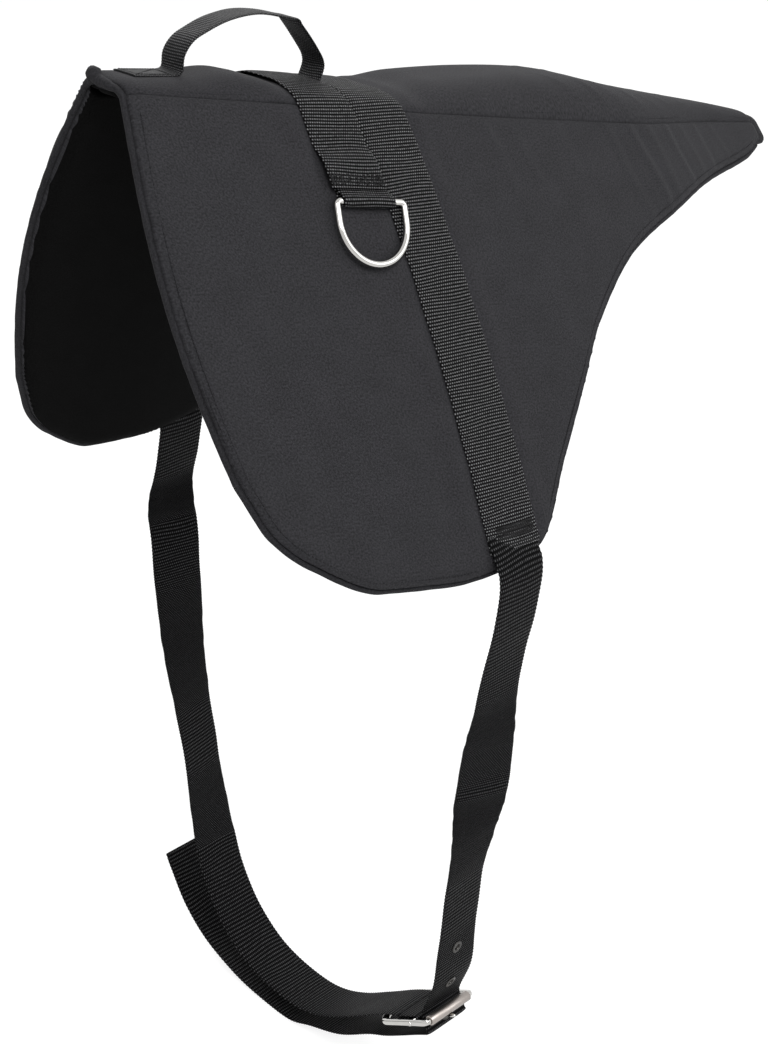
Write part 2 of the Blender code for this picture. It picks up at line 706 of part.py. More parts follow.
def root_edge(side, x):
    """One edge of a girth strap's sewn end, with the direction of its thickness at each point."""
    span, level = hang_plane()
    web_end = GIRTH_WEB_END + GIRTH_WEB_SLANT * (1 - x / GIRTH_WEB_WIDTH)
    depths = np.linspace(web_end + GAP, flap_edge(x) - ROLL_RADIUS, 3)
    on_flap = flap_point(side, np.full(3, x), depths)
    normals = flap_normal(side, np.full(3, x), depths)
    on_flap = on_flap + normals * (GAP + HALF_WEB)
    outside = np.array([0.0, float(side), 0.0])
    start = on_flap[-1]
    middle = level + (start[2] - level) * ROOT_BEND_SHARE
    hanging = [(x, side * (span + HALF_WEB), z) for z in (middle, level, girth_pivot()[1] - ROOT_LAP)]
    return np.concatenate([on_flap, hanging]), np.concatenate([normals, [outside] * 3])


def make_root(side, name, material):
    """The strap's sewn end: it leaves the web, passes over the rim and hangs down."""
    edges = [root_edge(side, x) for x in (STRAP_FRONT, STRAP_REAR)]
    points = np.stack([edge[0] for edge in edges], axis=1)
    rise = np.stack([edge[1] for edge in edges], axis=1) * HALF_WEB
    slab(name, points + rise, points - rise, material)


def buckle_point(reach, outward):
    """Place in the girth's plane at a reach towards the roller and outward of the buckle."""
    across, fall = BUCKLE_PLACE_SHARES
    middle = np.array([GIRTH_SPAN * across, girth_pivot()[1] - GIRTH_DROP * fall])
    towards = np.array([-math.cos(BUCKLE_TILT), math.sin(BUCKLE_TILT)])
    away = np.array([-math.sin(BUCKLE_TILT), -math.cos(BUCKLE_TILT)])
    return middle + np.multiply.outer(reach, towards) + np.multiply.outer(outward, away)


def route_points(side, shares):
    """Places of a strap's route under the pivot, as distance from the middle plane and level."""
    level = girth_pivot()[1]
    return [(side * GIRTH_SPAN * share, level - GIRTH_DROP * fall) for share, fall in shares]


def strap_top(side):
    """The first places of a strap: flat outside its root, as far down as the root's corners swing."""
    span, level = girth_pivot()
    outer = side * (span + WEB_THICKNESS + GAP + HALF_WEB)
    drops = (-STRAP_LAP, STRAP_LAP, STRAP_FLAT, STRAP_FLAT + STRAP_LAP)
    return [(outer, level - drop) for drop in drops]


def billet_route():
    """The near strap: down, out between bar and roller, and back under the other strap."""
    crossing = STRAP_CROSSING
    tongue = tongue_level(crossing)
    flat = EYELET_BORE + EYELET_WALL + EYELET_FLANGE + GAP
    lead = flat + HALF_WEB
    turn = 2 * WEB_THICKNESS
    places = [(crossing + turn * back, tongue + lead * inward) for back, inward in BILLET_ENTRY_SHARES]
    places += [(crossing, tongue - flat), (crossing, tongue), (crossing, tongue + flat),
               (crossing, tongue + lead),
               (crossing - turn / 2, tongue + lead + turn * BILLET_EXIT_SHARE),
               (-crossing, tongue + lead + turn / 2), (-BOW_REACH, tongue + 3 * turn)]
    through = [buckle_point(reach, outward) for reach, outward in places]
    points = strap_top(LEFT) + route_points(LEFT, LEFT_ROUTE_SHARES) + through
    return smooth_path(points + route_points(RIGHT, TAIL_ROUTE_SHARES), CURVE_STEPS)


def tongue_level(reach):
    """How far outward of the bar the tongue's middle lies at a reach towards the roller."""
    start = BAR_RADIUS + GAP + TONGUE_RADIUS
    end = ROLLER_RADIUS + GAP + TONGUE_RADIUS
    return start + (end - start) * reach / ROLLER_REACH


def twisted(route, shares):
    """The direction of a hanging strap's width at each place of its route, turned about the vertical."""
    fall = (girth_pivot()[1] - route[..., 1]) / GIRTH_DROP
    turn = STRAP_TWIST * smooth_value(TWIST_PLACE_SHARES, shares,
                                      np.clip(fall, TWIST_PLACE_SHARES[0], TWIST_PLACE_SHARES[-1]))
    return np.stack([np.cos(turn), -np.sin(turn), np.zeros_like(turn)], axis=-1)


def in_girth_plane(route):
    """Points of the strap's middle line from places in its plane."""
    return np.stack([np.full(len(route), STRAP_MIDDLE), route[:, 0], route[:, 1]], axis=-1)


def make_girth_strap(material, guide):
    """The far strap, whose end folds round the buckle's bar, with a slot for the tongue."""
    turn = BAR_RADIUS + GAP + HALF_WEB
    doubled = WEB_THICKNESS + GAP
    half_turn = np.radians(np.linspace(0, 180, 9))
    fold = [buckle_point(turn * math.sin(a), -turn * math.cos(a)) for a in half_turn]
    over_bow = buckle_point(-BOW_REACH + BOW_WIDTH / 2, -FRAME_THICKNESS / 2 - 3 * GAP - HALF_WEB)
    inward = [over_bow, buckle_point(-BOW_REACH / 2, -turn - HALF_WEB / 2),
              buckle_point(-turn * 2, -turn)]
    back = [buckle_point(-turn * 2, doubled / 2 + GAP), buckle_point(-turn * 4, doubled - turn),
            buckle_point(-BOW_REACH / 2, doubled - turn)]
    lead = smooth_path(strap_top(RIGHT) + route_points(RIGHT, RIGHT_ROUTE_SHARES) + inward, CURVE_STEPS)
    route = np.concatenate([lead, np.array(fold), np.array(back)])
    strap = ribbon('girth_strap', in_girth_plane(route), twisted(route, RIGHT_TWIST_SHARES),
                   STRAP_WIDTH, WEB_THICKNESS, material)
    half = TONGUE_RADIUS + 2 * GAP
    reach = BAR_RADIUS + 2 * TONGUE_RADIUS + 4 * GAP
    rings = []
    for x in (STRAP_MIDDLE - half, STRAP_MIDDLE + half):
        corners = [buckle_point(u * reach, v * reach)
                   for u, v in ((-1, -1), (SLOT_END_SHARE, -1), (SLOT_END_SHARE, 1), (-1, 1))]
        rings.append([(x, y, z) for y, z in corners])
    cut(strap, [sweep('tongue_slot', np.array(rings), guide, smooth=False)])


def eyelet_places(route):
    """Middle and direction of each eyelet, counted back along the billet from the tongue."""
    travel = np.concatenate([[0], np.cumsum(np.linalg.norm(np.diff(route, axis=0), axis=-1))])
    middle = buckle_point(STRAP_CROSSING, tongue_level(STRAP_CROSSING))
    start = travel[np.linalg.norm(route - middle, axis=-1).argmin()]
    places = []
    for k in range(EYELET_COUNT):
        where = start - k * EYELET_SPACING
        centre = np.array([np.interp(where, travel, route[:, axis]) for axis in (0, 1)])
        ahead = np.array([np.interp(where + WEB_THICKNESS, travel, route[:, axis]) for axis in (0, 1)])
        behind = np.array([np.interp(where - WEB_THICKNESS, travel, route[:, axis]) for axis in (0, 1)])
        along = unit(ahead - behind)
        across = twisted(centre, LEFT_TWIST_SHARES)
        axis = unit(np.cross(across, np.array([0.0, *along])))
        places.append((np.array([STRAP_MIDDLE, *centre]), axis))
    return places


def turned(name, profile, centre, axis, material, sides=ROUND_SIDES):
    """A solid turned from a closed profile of radius and height about an axis."""
    helper = np.array([1.0, 0.0, 0.0]) if abs(axis[0]) < 0.5 else np.array([0.0, 0.0, 1.0])
    first = unit(np.cross(axis, helper))
    second = np.cross(axis, first)
    rings = []
    for angle in np.arange(sides) * 2 * math.pi / sides:
        radial = math.cos(angle) * first + math.sin(angle) * second
        rings.append([centre + radius * radial + height * axis for radius, height in profile])
    return sweep(name, np.array(rings), material, closed=True)


def make_billet(webbing, metal, guide):
    """The near strap with its eyelets, and the holes that they line."""
    route = billet_route()
    strap = ribbon('girth_billet', in_girth_plane(route), twisted(route, LEFT_TWIST_SHARES),
                   STRAP_WIDTH, WEB_THICKNESS, webbing)
    barrel = EYELET_BORE + EYELET_WALL
    low, high = HALF_WEB + GAP, HALF_WEB + GAP + EYELET_LIP
    rim = barrel + EYELET_FLANGE
    profile = [(EYELET_BORE, -high), (rim, -high), (rim, -low), (barrel, -low),
               (barrel, low), (rim, low), (rim, high), (EYELET_BORE, high)]
    angles = np.arange(ROUND_SIDES) * 2 * math.pi / ROUND_SIDES
    cutters = []
    for number, (centre, axis) in enumerate(eyelet_places(route), start=1):
        turned(f'eyelet_{number}', profile, centre, axis, metal, sides=EYELET_SIDES)
        side = unit(np.array([axis[1], -axis[0], 0.0]))
        other = np.cross(axis, side)
        rings = [[centre + (barrel + GAP) * (math.cos(a) * side + math.sin(a) * other) + end * axis
                  for a in angles] for end in (-2 * WEB_THICKNESS, 2 * WEB_THICKNESS)]
        cutters.append(sweep(f'eyelet_hole_{number}', np.array(rings), guide, smooth=False))
    cut(strap, cutters)


def frame_route():
    """The buckle frame's middle line: roller bar, round corners, arms and a half-oval bow."""
    half = FRAME_WIDTH / 2
    corner = np.radians(np.linspace(0, 90, 4))
    straight = ROLLER_REACH - FRAME_CORNER
    points = [(u * (half - FRAME_CORNER), ROLLER_REACH) for u in (-1, -0.5, 0.0, 0.5, 1)]
    points += [(half - FRAME_CORNER + FRAME_CORNER * math.sin(a),
                straight + FRAME_CORNER * math.cos(a)) for a in corner[1:]]
    arm = [(half, BAR_RADIUS + straight / 2), (half, -2 * BAR_RADIUS)]
    points += arm
    bow_start = -BOW_REACH + BOW_ROUND
    bow = np.radians(np.linspace(0, 180, 15))
    points += [(half * math.cos(a), bow_start - BOW_ROUND * math.sin(a)) for a in bow]
    points += [(-across, reach) for across, reach in reversed(arm)]
    points += [(-half + FRAME_CORNER - FRAME_CORNER * math.sin(a),
                straight + FRAME_CORNER * math.cos(a)) for a in corner[:0:-1]]
    return np.array(points)


def make_buckle(metal, satin, guide):
    """Frame with its centre bar, the roller on it, and the tongue curled round the bar."""
    route = frame_route()
    spread = np.clip(-route[:, 1] / BOW_REACH, 0, 1)
    wide = ARM_WIDTH / 2 + (BOW_WIDTH - ARM_WIDTH) / 2 * spread
    bar = ROLLER_RADIUS - ROLLER_WALL - GAP
    thick = np.where(route[:, 1] > ROLLER_REACH - FRAME_CORNER / 2, bar, FRAME_THICKNESS / 2)
    wide = np.where(route[:, 1] > ROLLER_REACH - FRAME_CORNER / 2, bar, wide)
    tangents = unit(np.roll(route, -1, axis=0) - np.roll(route, 1, axis=0))
    aside = np.stack([tangents[:, 1], -tangents[:, 0]], axis=-1)
    angles = np.arange(FRAME_SIDES) * 2 * math.pi / FRAME_SIDES
    rings = []
    for (x, reach), (dx, dr), w, t in zip(route, aside, wide, thick):
        ring = []
        for a in angles:
            y, z = buckle_point(reach + dr * w * math.cos(a), t * math.sin(a))
            ring.append((STRAP_MIDDLE + x + dx * w * math.cos(a), y, z))
        rings.append(ring)
    frame = sweep('buckle_frame', np.array(rings), metal, closed=True)
    y, z = buckle_point(0.0, 0.0)
    centre = np.array([STRAP_MIDDLE, y, z])
    axis = np.array([1.0, 0.0, 0.0])
    end = FRAME_WIDTH / 2 + ARM_WIDTH / 2 + RIVET_STAND
    around = np.arange(EYELET_SIDES) * 2 * math.pi / EYELET_SIDES
    rivet = BAR_RADIUS * RIVET_FACE_SHARE
    bars = [[centre + axis * place + radius * np.array([0.0, math.cos(a), math.sin(a)]) for a in around]
            for place, radius in ((-end, rivet), (-end + RIVET_STAND, BAR_RADIUS),
                                  (end - RIVET_STAND, BAR_RADIUS), (end, rivet))]
    centre_bar = sweep('centre_bar', np.array(bars), guide)
    centre_bar.hide_render = True
    centre_bar.display_type = 'WIRE'
    joined = frame.modifiers.new('centre_bar', 'BOOLEAN')
    joined.operation = 'UNION'
    joined.solver = 'EXACT'
    joined.object = centre_bar

    y, z = buckle_point(ROLLER_REACH, 0.0)
    inner = ROLLER_RADIUS - ROLLER_WALL
    half = ROLLER_LENGTH / 2
    profile = [(inner, -half), (ROLLER_RADIUS, -half), (ROLLER_RADIUS, half), (inner, half)]
    turned('buckle_roller', profile, np.array([STRAP_MIDDLE, y, z]), axis, satin)

    curl = BAR_RADIUS + GAP + TONGUE_RADIUS
    slope = math.atan2(tongue_level(ROLLER_REACH) - tongue_level(0.0), ROLLER_REACH)
    arc = np.linspace(TONGUE_CURL_START, slope - 1.5 * math.pi, 16)
    places = [(curl * math.cos(a), curl * math.sin(a)) for a in arc]
    tip = ROLLER_REACH + TONGUE_TIP
    for reach in [ROLLER_REACH * share for share in TONGUE_STEP_SHARES] + [tip]:
        places.append((reach, tongue_level(reach)))
    path = np.array([buckle_point(reach, outward) for reach, outward in places])
    aside = np.broadcast_to(axis, (len(path), 3))
    tube('buckle_tongue', in_girth_plane(path), aside, TONGUE_RADIUS, metal)


# Materials

def material(name, colour, roughness, metallic=0.0):
    """A plain surface with a colour, a roughness and a metallic value."""
    result = bpy.data.materials.new(name)
    result.use_nodes = True
    shader = result.node_tree.nodes['Principled BSDF']
    shader.inputs['Base Color'].default_value = (*colour, 1.0)
    shader.inputs['Roughness'].default_value = roughness
    shader.inputs['Metallic'].default_value = metallic
    return result


def build():
    """Removes what the scene holds and makes every piece."""
    for item in list(bpy.data.objects):
        bpy.data.objects.remove(item, do_unlink=True)
    cloth = material('woven_cover', (0.035, 0.036, 0.040), 0.85)
    foam = material('foam', (0.10, 0.10, 0.11), 0.95)
    webbing = material('webbing', (0.012, 0.012, 0.013), 0.6)
    metal = material('nickel', (0.66, 0.65, 0.63), 0.18, metallic=1.0)
    satin = material('satin_roller', (0.36, 0.33, 0.31), 0.42, metallic=1.0)
    guide = material('guide', (0.5, 0.5, 0.5), 0.5)

    make_seat(cloth, foam)
    for side, prefix in ((LEFT, 'left'), (RIGHT, 'right')):
        make_flap(side, f'{prefix}_flap', cloth, foam)
        make_edge_roll(side, f'{prefix}_edge_roll', cloth)
        make_chape(side, f'{prefix}_ring_chape', webbing)
        make_ring(side, f'{prefix}_d_ring', metal)
        make_root(side, f'{prefix}_girth_root', webbing)
    make_front_roll(cloth)
    make_tail_binding(cloth)
    doubled = 2 * WEB_THICKNESS + 4 * GAP
    over_foot = WEB_THICKNESS + 4 * GAP
    edge = GAP / 2
    make_web('front_web', WEB_FRONT, -edge, FRONT_WEB_END, 0.0,
             (doubled, over_foot), (0.0, -WEB_SLIT), webbing)
    make_web('girth_web', edge, WEB_REAR, GIRTH_WEB_END, GIRTH_WEB_SLANT,
             (0.0, 0.0), (WEB_SLIT, 0.0), webbing)
    make_handle(webbing)
    make_billet(webbing, metal, guide)
    make_girth_strap(webbing, guide)
    make_buckle(metal, satin, guide)


build()
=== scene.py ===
"""Bareback pad for a horse: padded cloth, ribbed webbing, two rings and a buckled girth.

Metres, +Z up, +X towards the tail, -Y towards the near side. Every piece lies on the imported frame.
"""

import math

import bmesh
import bpy
import numpy as np
from mathutils import Matrix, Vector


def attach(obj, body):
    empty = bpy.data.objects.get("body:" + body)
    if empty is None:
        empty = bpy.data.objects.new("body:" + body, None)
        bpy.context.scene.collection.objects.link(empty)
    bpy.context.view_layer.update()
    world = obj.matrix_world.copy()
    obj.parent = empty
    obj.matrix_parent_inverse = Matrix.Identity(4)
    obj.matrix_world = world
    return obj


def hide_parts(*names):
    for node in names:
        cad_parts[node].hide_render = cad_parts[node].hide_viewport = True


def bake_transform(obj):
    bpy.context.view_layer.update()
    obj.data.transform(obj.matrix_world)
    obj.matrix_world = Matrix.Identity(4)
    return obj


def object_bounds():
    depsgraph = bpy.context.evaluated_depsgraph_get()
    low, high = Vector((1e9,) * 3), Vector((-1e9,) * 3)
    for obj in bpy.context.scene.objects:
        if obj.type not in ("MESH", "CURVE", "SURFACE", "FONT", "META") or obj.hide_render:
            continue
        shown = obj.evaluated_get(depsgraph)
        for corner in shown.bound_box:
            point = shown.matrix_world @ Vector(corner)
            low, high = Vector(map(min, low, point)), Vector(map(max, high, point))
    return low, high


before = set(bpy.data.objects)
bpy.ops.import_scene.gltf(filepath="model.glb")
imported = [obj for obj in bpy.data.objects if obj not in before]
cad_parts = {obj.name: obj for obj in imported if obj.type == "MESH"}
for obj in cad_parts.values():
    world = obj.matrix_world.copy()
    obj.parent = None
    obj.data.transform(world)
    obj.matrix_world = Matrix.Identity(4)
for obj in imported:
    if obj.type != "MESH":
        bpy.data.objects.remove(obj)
cad_box = [[float(value) for value in corner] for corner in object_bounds()]


# Camera
# A long lens on the near side stands a little above the pad's front and looks down its length.
# Its place and directions were fitted to the pad's seams, edges and webs.

SENSOR_WIDTH = 36.0
LENS_LENGTH = 92.9
CAMERA_PLACE = (-1.0030, -1.1175, 0.4273)
CAMERA_AHEAD = np.array([0.6154, 0.6346, -0.4676])
CAMERA_UPRIGHT = np.array([0.3255, 0.3357, 0.8839])


def facing(aside, upright, ahead, place):
    """The matrix of a camera or lamp that stands at a place and looks ahead, along its own -Z."""
    return Matrix([[aside[k], upright[k], -ahead[k], place[k]] for k in range(3)] + [[0, 0, 0, 1]])


camera_data = bpy.data.cameras.new("camera")
camera_data.sensor_fit = "HORIZONTAL"
camera_data.sensor_width = SENSOR_WIDTH
camera_data.lens = LENS_LENGTH
camera = bpy.data.objects.new("camera", camera_data)
bpy.context.collection.objects.link(camera)
camera_aside = np.cross(CAMERA_AHEAD, CAMERA_UPRIGHT)
camera.matrix_world = facing(camera_aside, CAMERA_UPRIGHT, CAMERA_AHEAD, CAMERA_PLACE)
bpy.context.scene.camera = camera
bpy.context.scene.view_settings.view_transform = "Standard"


# Floor, sky and lamps
# A plain white floor and sky, seen as white by the camera and in metal, and three soft lamps.
# The floor's light is part diffuse, so that it keeps the object's shadow.

FLOOR_HALF = 12.0
FLOOR_GAP = 0.0008
FLOOR_GREY = 0.86
GLOW_STRENGTH = 1.2
GLOW_SHARE = 0.72
SKY_STRENGTH = 0.55
LAMPS = (
    ("key_lamp", (-1.2, -2.3, 2.5), (0.0, -0.1, -0.25), 1.6, 105.0),
    ("fill_lamp", (1.9, -2.6, 1.2), (0.1, 0.0, -0.3), 2.2, 42.0),
    ("back_lamp", (1.4, 2.4, 2.2), (0.1, 0.0, -0.2), 1.8, 60.0),
)

floor_mesh = bpy.data.meshes.new("floor")
floor_level = cad_box[0][2] - FLOOR_GAP
floor_mesh.from_pydata([(x * FLOOR_HALF, y * FLOOR_HALF, floor_level)
                        for x, y in ((-1, -1), (1, -1), (1, 1), (-1, 1))], [], [(0, 1, 2, 3)])
floor = bpy.data.objects.new("floor", floor_mesh)
bpy.context.collection.objects.link(floor)


def calc(tree, operation, *values):
    """One Math node: sockets among the values are linked, and numbers are set."""
    node = tree.nodes.new("ShaderNodeMath")
    node.operation = operation
    for k, value in enumerate(values):
        if isinstance(value, (int, float)):
            node.inputs[k].default_value = value
        else:
            tree.links.new(value, node.inputs[k])
    return node.outputs[0]


def seen_mask(tree):
    """1 where the camera, a mirror or glass looks, 0 for the light that falls on the object."""
    path = tree.nodes.new("ShaderNodeLightPath")
    mask = path.outputs["Is Camera Ray"]
    for ray in ("Is Glossy Ray", "Is Transmission Ray"):
        mask = calc(tree, "MAXIMUM", mask, path.outputs[ray])
    return mask


def mixed_surface(tree, share, lighting, seen, output):
    """The lighting shader, mixed by the share with the one that is seen, goes to the output node."""
    mixed = tree.nodes.new("ShaderNodeMixShader")
    tree.links.new(share, mixed.inputs[0])
    tree.links.new(lighting.outputs[0], mixed.inputs[1])
    tree.links.new(seen.outputs[0], mixed.inputs[2])
    tree.links.new(mixed.outputs[0], tree.nodes.new(output).inputs["Surface"])


floor_finish = bpy.data.materials.new("floor")
floor_finish.use_nodes = True
tree = floor_finish.node_tree
tree.nodes.clear()
diffuse = tree.nodes.new("ShaderNodeBsdfDiffuse")
diffuse.inputs["Color"].default_value = (FLOOR_GREY, FLOOR_GREY, FLOOR_GREY, 1.0)
glow = tree.nodes.new("ShaderNodeEmission")
glow.inputs["Color"].default_value = (1.0, 1.0, 1.0, 1.0)
glow.inputs["Strength"].default_value = GLOW_STRENGTH
glow_mask = calc(tree, "MULTIPLY", seen_mask(tree), GLOW_SHARE)
mixed_surface(tree, glow_mask, diffuse, glow, "ShaderNodeOutputMaterial")
floor_mesh.materials.append(floor_finish)

sky = bpy.data.worlds.new("sky")
bpy.context.scene.world = sky
sky.use_nodes = True
tree = sky.node_tree
tree.nodes.clear()
soft = tree.nodes.new("ShaderNodeBackground")
soft.inputs["Strength"].default_value = SKY_STRENGTH
white = tree.nodes.new("ShaderNodeBackground")
white.inputs["Color"].default_value = (1.0, 1.0, 1.0, 1.0)
mixed_surface(tree, seen_mask(tree), soft, white, "ShaderNodeOutputWorld")

for name, place, aim, size, power in LAMPS:
    lamp = bpy.data.lights.new(name, "AREA")
    lamp.size = size
    lamp.energy = power
    holder = bpy.data.objects.new(name, lamp)
    bpy.context.collection.objects.link(holder)
    towards = np.array(aim) - np.array(place)
    towards = towards / np.linalg.norm(towards)
    over = np.cross(towards, (0.0, 0.0, 1.0))
    over = over / np.linalg.norm(over)
    holder.matrix_world = facing(over, np.cross(over, towards), towards, place)


# Woven cover
# Dark grey polyester in a fine plain weave, matt, with a slight bloom. The lining is the same
# cloth in black, darkened further by painted shade on the pad's inner faces. The weave follows each
# piece's own map, in metres along and across it.

THREAD_PITCH = 0.0011
FUZZ_SCALE = 640.0
MOTTLE_SCALE = 38.0
SHEEN_ROUGHNESS = 0.45
WEAVE_BUMP = 0.7


def shader_group(name, inputs, outputs):
    """A node group with the named inputs, each with its kind and value, and the named outputs."""
    group = bpy.data.node_groups.new(name, "ShaderNodeTree")
    for title, kind, value in inputs:
        socket = group.interface.new_socket(title, in_out="INPUT", socket_type=kind)
        if value is not None:
            socket.default_value = value
    for title, kind in outputs:
        group.interface.new_socket(title, in_out="OUTPUT", socket_type=kind)
    return group, group.nodes.new("NodeGroupInput"), group.nodes.new("NodeGroupOutput")


def wave(tree, length, pitch, shift=0.0):
    """0.5 + 0.5 sin(2 pi (length / pitch + shift))."""
    turns = calc(tree, "ADD", calc(tree, "DIVIDE", length, pitch), shift)
    swing = calc(tree, "SINE", calc(tree, "MULTIPLY", turns, 2 * math.pi))
    return calc(tree, "MULTIPLY_ADD", swing, 0.5, 0.5)


def speckle(tree, vector, scale, detail=2.0):
    """Plain noise from 0 to 1 at a scale per metre."""
    node = tree.nodes.new("ShaderNodeTexNoise")
    node.inputs["Scale"].default_value = scale
    node.inputs["Detail"].default_value = detail
    tree.links.new(vector, node.inputs["Vector"])
    return node.outputs["Fac"]


# The threads cross where |warp - weft| is large. Height is 0.6 fuzz + 0.4 crossing, and
# shade is 2.8 fuzz + 0.5 mottle + 0.22 crossing - 1.27.
cloth_weave, entry, leave = shader_group(
    "cloth_weave",
    [("Weave", "NodeSocketVector", None), ("Thread pitch", "NodeSocketFloat", THREAD_PITCH)],
    [("Height", "NodeSocketFloat"), ("Shade", "NodeSocketFloat")])
parts = cloth_weave.nodes.new("ShaderNodeSeparateXYZ")
cloth_weave.links.new(entry.outputs["Weave"], parts.inputs[0])
warp = wave(cloth_weave, parts.outputs["X"], entry.outputs["Thread pitch"])
weft = wave(cloth_weave, parts.outputs["Y"], entry.outputs["Thread pitch"])
crossing = calc(cloth_weave, "ABSOLUTE", calc(cloth_weave, "SUBTRACT", warp, weft))
fuzz = speckle(cloth_weave, entry.outputs["Weave"], FUZZ_SCALE, 3.0)
mottle = speckle(cloth_weave, entry.outputs["Weave"], MOTTLE_SCALE, 4.0)
height = calc(cloth_weave, "MULTIPLY_ADD", fuzz, 0.6, calc(cloth_weave, "MULTIPLY", crossing, 0.4))
cloth_weave.links.new(height, leave.inputs["Height"])
blend = calc(cloth_weave, "MULTIPLY_ADD", fuzz, 2.8, calc(cloth_weave, "MULTIPLY", mottle, 0.5))
blend = calc(cloth_weave, "ADD", blend, calc(cloth_weave, "MULTIPLY", crossing, 0.22))
cloth_weave.links.new(calc(cloth_weave, "SUBTRACT", blend, 1.27), leave.inputs["Shade"])


def coloured(tree, shader, share, dark, light):
    """The base colour runs from a dark one to a light one with the share."""
    mix = tree.nodes.new("ShaderNodeMix")
    mix.data_type = "RGBA"
    mix.inputs["A"].default_value = (*dark, 1.0)
    mix.inputs["B"].default_value = (*light, 1.0)
    tree.links.new(share, mix.inputs["Factor"])
    tree.links.new(mix.outputs["Result"], shader.inputs["Base Color"])


def bumped(tree, shader, height, strength, depth):
    """The surface's normal follows a bump of that depth."""
    bump = tree.nodes.new("ShaderNodeBump")
    bump.inputs["Strength"].default_value = strength
    bump.inputs["Distance"].default_value = depth
    tree.links.new(height, bump.inputs["Height"])
    tree.links.new(bump.outputs["Normal"], shader.inputs["Normal"])


def woven_finish(name, group, settings, dark, light, roughness, sheen, depth, gloss=0.3, coordinates="UV"):
    """A cloth: a weave group on the piece's map mixes two colours and raises a bump of that depth."""
    finish = bpy.data.materials.new(name)
    finish.use_nodes = True
    tree = finish.node_tree
    shader = tree.nodes["Principled BSDF"]
    shader.inputs["Roughness"].default_value = roughness
    shader.inputs["Sheen Weight"].default_value = sheen
    shader.inputs["Sheen Roughness"].default_value = SHEEN_ROUGHNESS
    shader.inputs["Specular IOR Level"].default_value = gloss
    place = tree.nodes.new("ShaderNodeTexCoord")
    weave = tree.nodes.new("ShaderNodeGroup")
    weave.node_tree = group
    tree.links.new(place.outputs[coordinates], weave.inputs["Weave"])
    for title, value in settings.items():
        weave.inputs[title].default_value = value
    coloured(tree, shader, weave.outputs["Shade"], dark, light)
    bumped(tree, shader, weave.outputs["Height"], WEAVE_BUMP, depth)
    return finish


cover_cloth = woven_finish("woven_cover", cloth_weave, {"Thread pitch": THREAD_PITCH},
                           (0.0098, 0.0097, 0.0110), (0.0290, 0.0285, 0.0322), 0.9, 0.015, 0.00045,
                           gloss=0.22)
# The lining's colours are black cloth darkened further by painted shade, for the shade on the pad's inner
# faces.
lining_with_painted_shade = woven_finish("woven_lining_painted_shade", cloth_weave, {"Thread pitch": THREAD_PITCH},
                            (0.0010, 0.0010, 0.0010), (0.0042, 0.0042, 0.0042), 0.9, 0.0, 0.0002, gloss=0.06)
hem_cloth = woven_finish("hem_cloth", cloth_weave, {"Thread pitch": THREAD_PITCH},
                         (0.0075, 0.0075, 0.0085), (0.022, 0.0215, 0.0245), 0.88, 0.015, 0.0003, gloss=0.2)


# Side flaps
# Each flap is one padded leaf: cover, thin foam and lining, sewn together at its edges.
# Its outer face leans out and curls in below the seam, puffs up beside the webs, and wrinkles a
# little behind them. The grid runs along the spine and down from the seam.

SPINE_LENGTH = 0.751
FRONT_REACH = 0.190
FLAP_DEPTH = 0.379
FRONT_BOW = 0.020
SEAT_HALF = 0.058
SEAT_CROWN = 0.032
CROWN_POWER = 4
SEAM_HEIGHT = 0.005
SPINE_FALL = 0.235
FLAP_LEAN = math.radians(31.6)
FLAP_LEAN_GAIN = math.radians(11.5)
FLAP_CURL = math.radians(13.0)
PAD_THICKNESS = 0.016
SEAM_THICKNESS = 0.0045
EDGE_ROUNDING = 0.014
SEAM_BLEND = 0.022
WEB_WIDTH = 0.050
FRONT_WEB_END = 0.067
GAP = 0.0003
FRONT, TAIL = -FRONT_REACH, SPINE_LENGTH - FRONT_REACH
RIM_THICKNESS = 0.0065
RIM_ROUNDING = 0.011
SEAM_DIP = 0.0024
SEAM_LAP = 0.0004
SEAM_DIP_WIDTH = 0.0045
PUFF_HEIGHT = 0.0011
PUFF_PLACE = 0.011
PUFF_SPREAD = 0.008
WEB_BAND = 0.006
END_FADE = 0.02
SWELL_LENGTH = 0.23
SWELL_DEPTH = 0.19
CREASE_HEIGHT = 0.0011
CREASE_WIDTH = 0.0052
CREASE_SLANT = 0.17
CREASE_WANDER = 0.0015
LEAF_ROWS, LEAF_COLUMNS = 90, 400
RIM_STEPS = 70
NEAR, FAR = -1, 1


def smooth_curve(shares, values, x):
    """A cubic through the values at shares of the spine, whose slopes are harmonic means of the steps."""
    places = FRONT + SPINE_LENGTH * np.asarray(shares, float)
    values = np.asarray(values, float)
    steps = np.diff(places)
    slopes = np.diff(values) / steps
    product = slopes[:-1] * slopes[1:]
    total = np.where(product > 0, slopes[:-1] + slopes[1:], 1.0)
    tangents = np.concatenate([slopes[:1], np.where(product > 0, 2 * product / total, 0.0), slopes[-1:]])
    index = np.clip(np.searchsorted(places, x) - 1, 0, len(steps) - 1)
    step = steps[index]
    u = (np.asarray(x, float) - places[index]) / step
    start, end = values[index], values[index + 1]
    bend = 3 * (end - start) - step * (2 * tangents[index] + tangents[index + 1])
    turn = 2 * (start - end) + step * (tangents[index] + tangents[index + 1])
    return start + u * (step * tangents[index] + u * (bend + u * turn))


def seam_half(x):
    """Half the width between the two seams."""
    return smooth_curve((0.0, 0.093, 0.186, 0.32, 0.493, 0.679, 0.892, 1.0),
                        SEAT_HALF * np.array((0.48, 0.62, 0.72, 0.90, 1.0, 1.0, 0.50, 0.34)), x)


def crown(x):
    """Height of the seat's ridge over the seams."""
    return smooth_curve((0.0, 0.085, 0.137, 0.186, 0.321, 0.403, 0.506, 0.608, 0.762, 0.895, 1.0),
                        SEAT_CROWN * np.array((0.25, 0.34, 0.50, 0.33, 0.33, 0.69, 0.91, 1.0, 0.63,
                                               0.44, 0.20)), x)


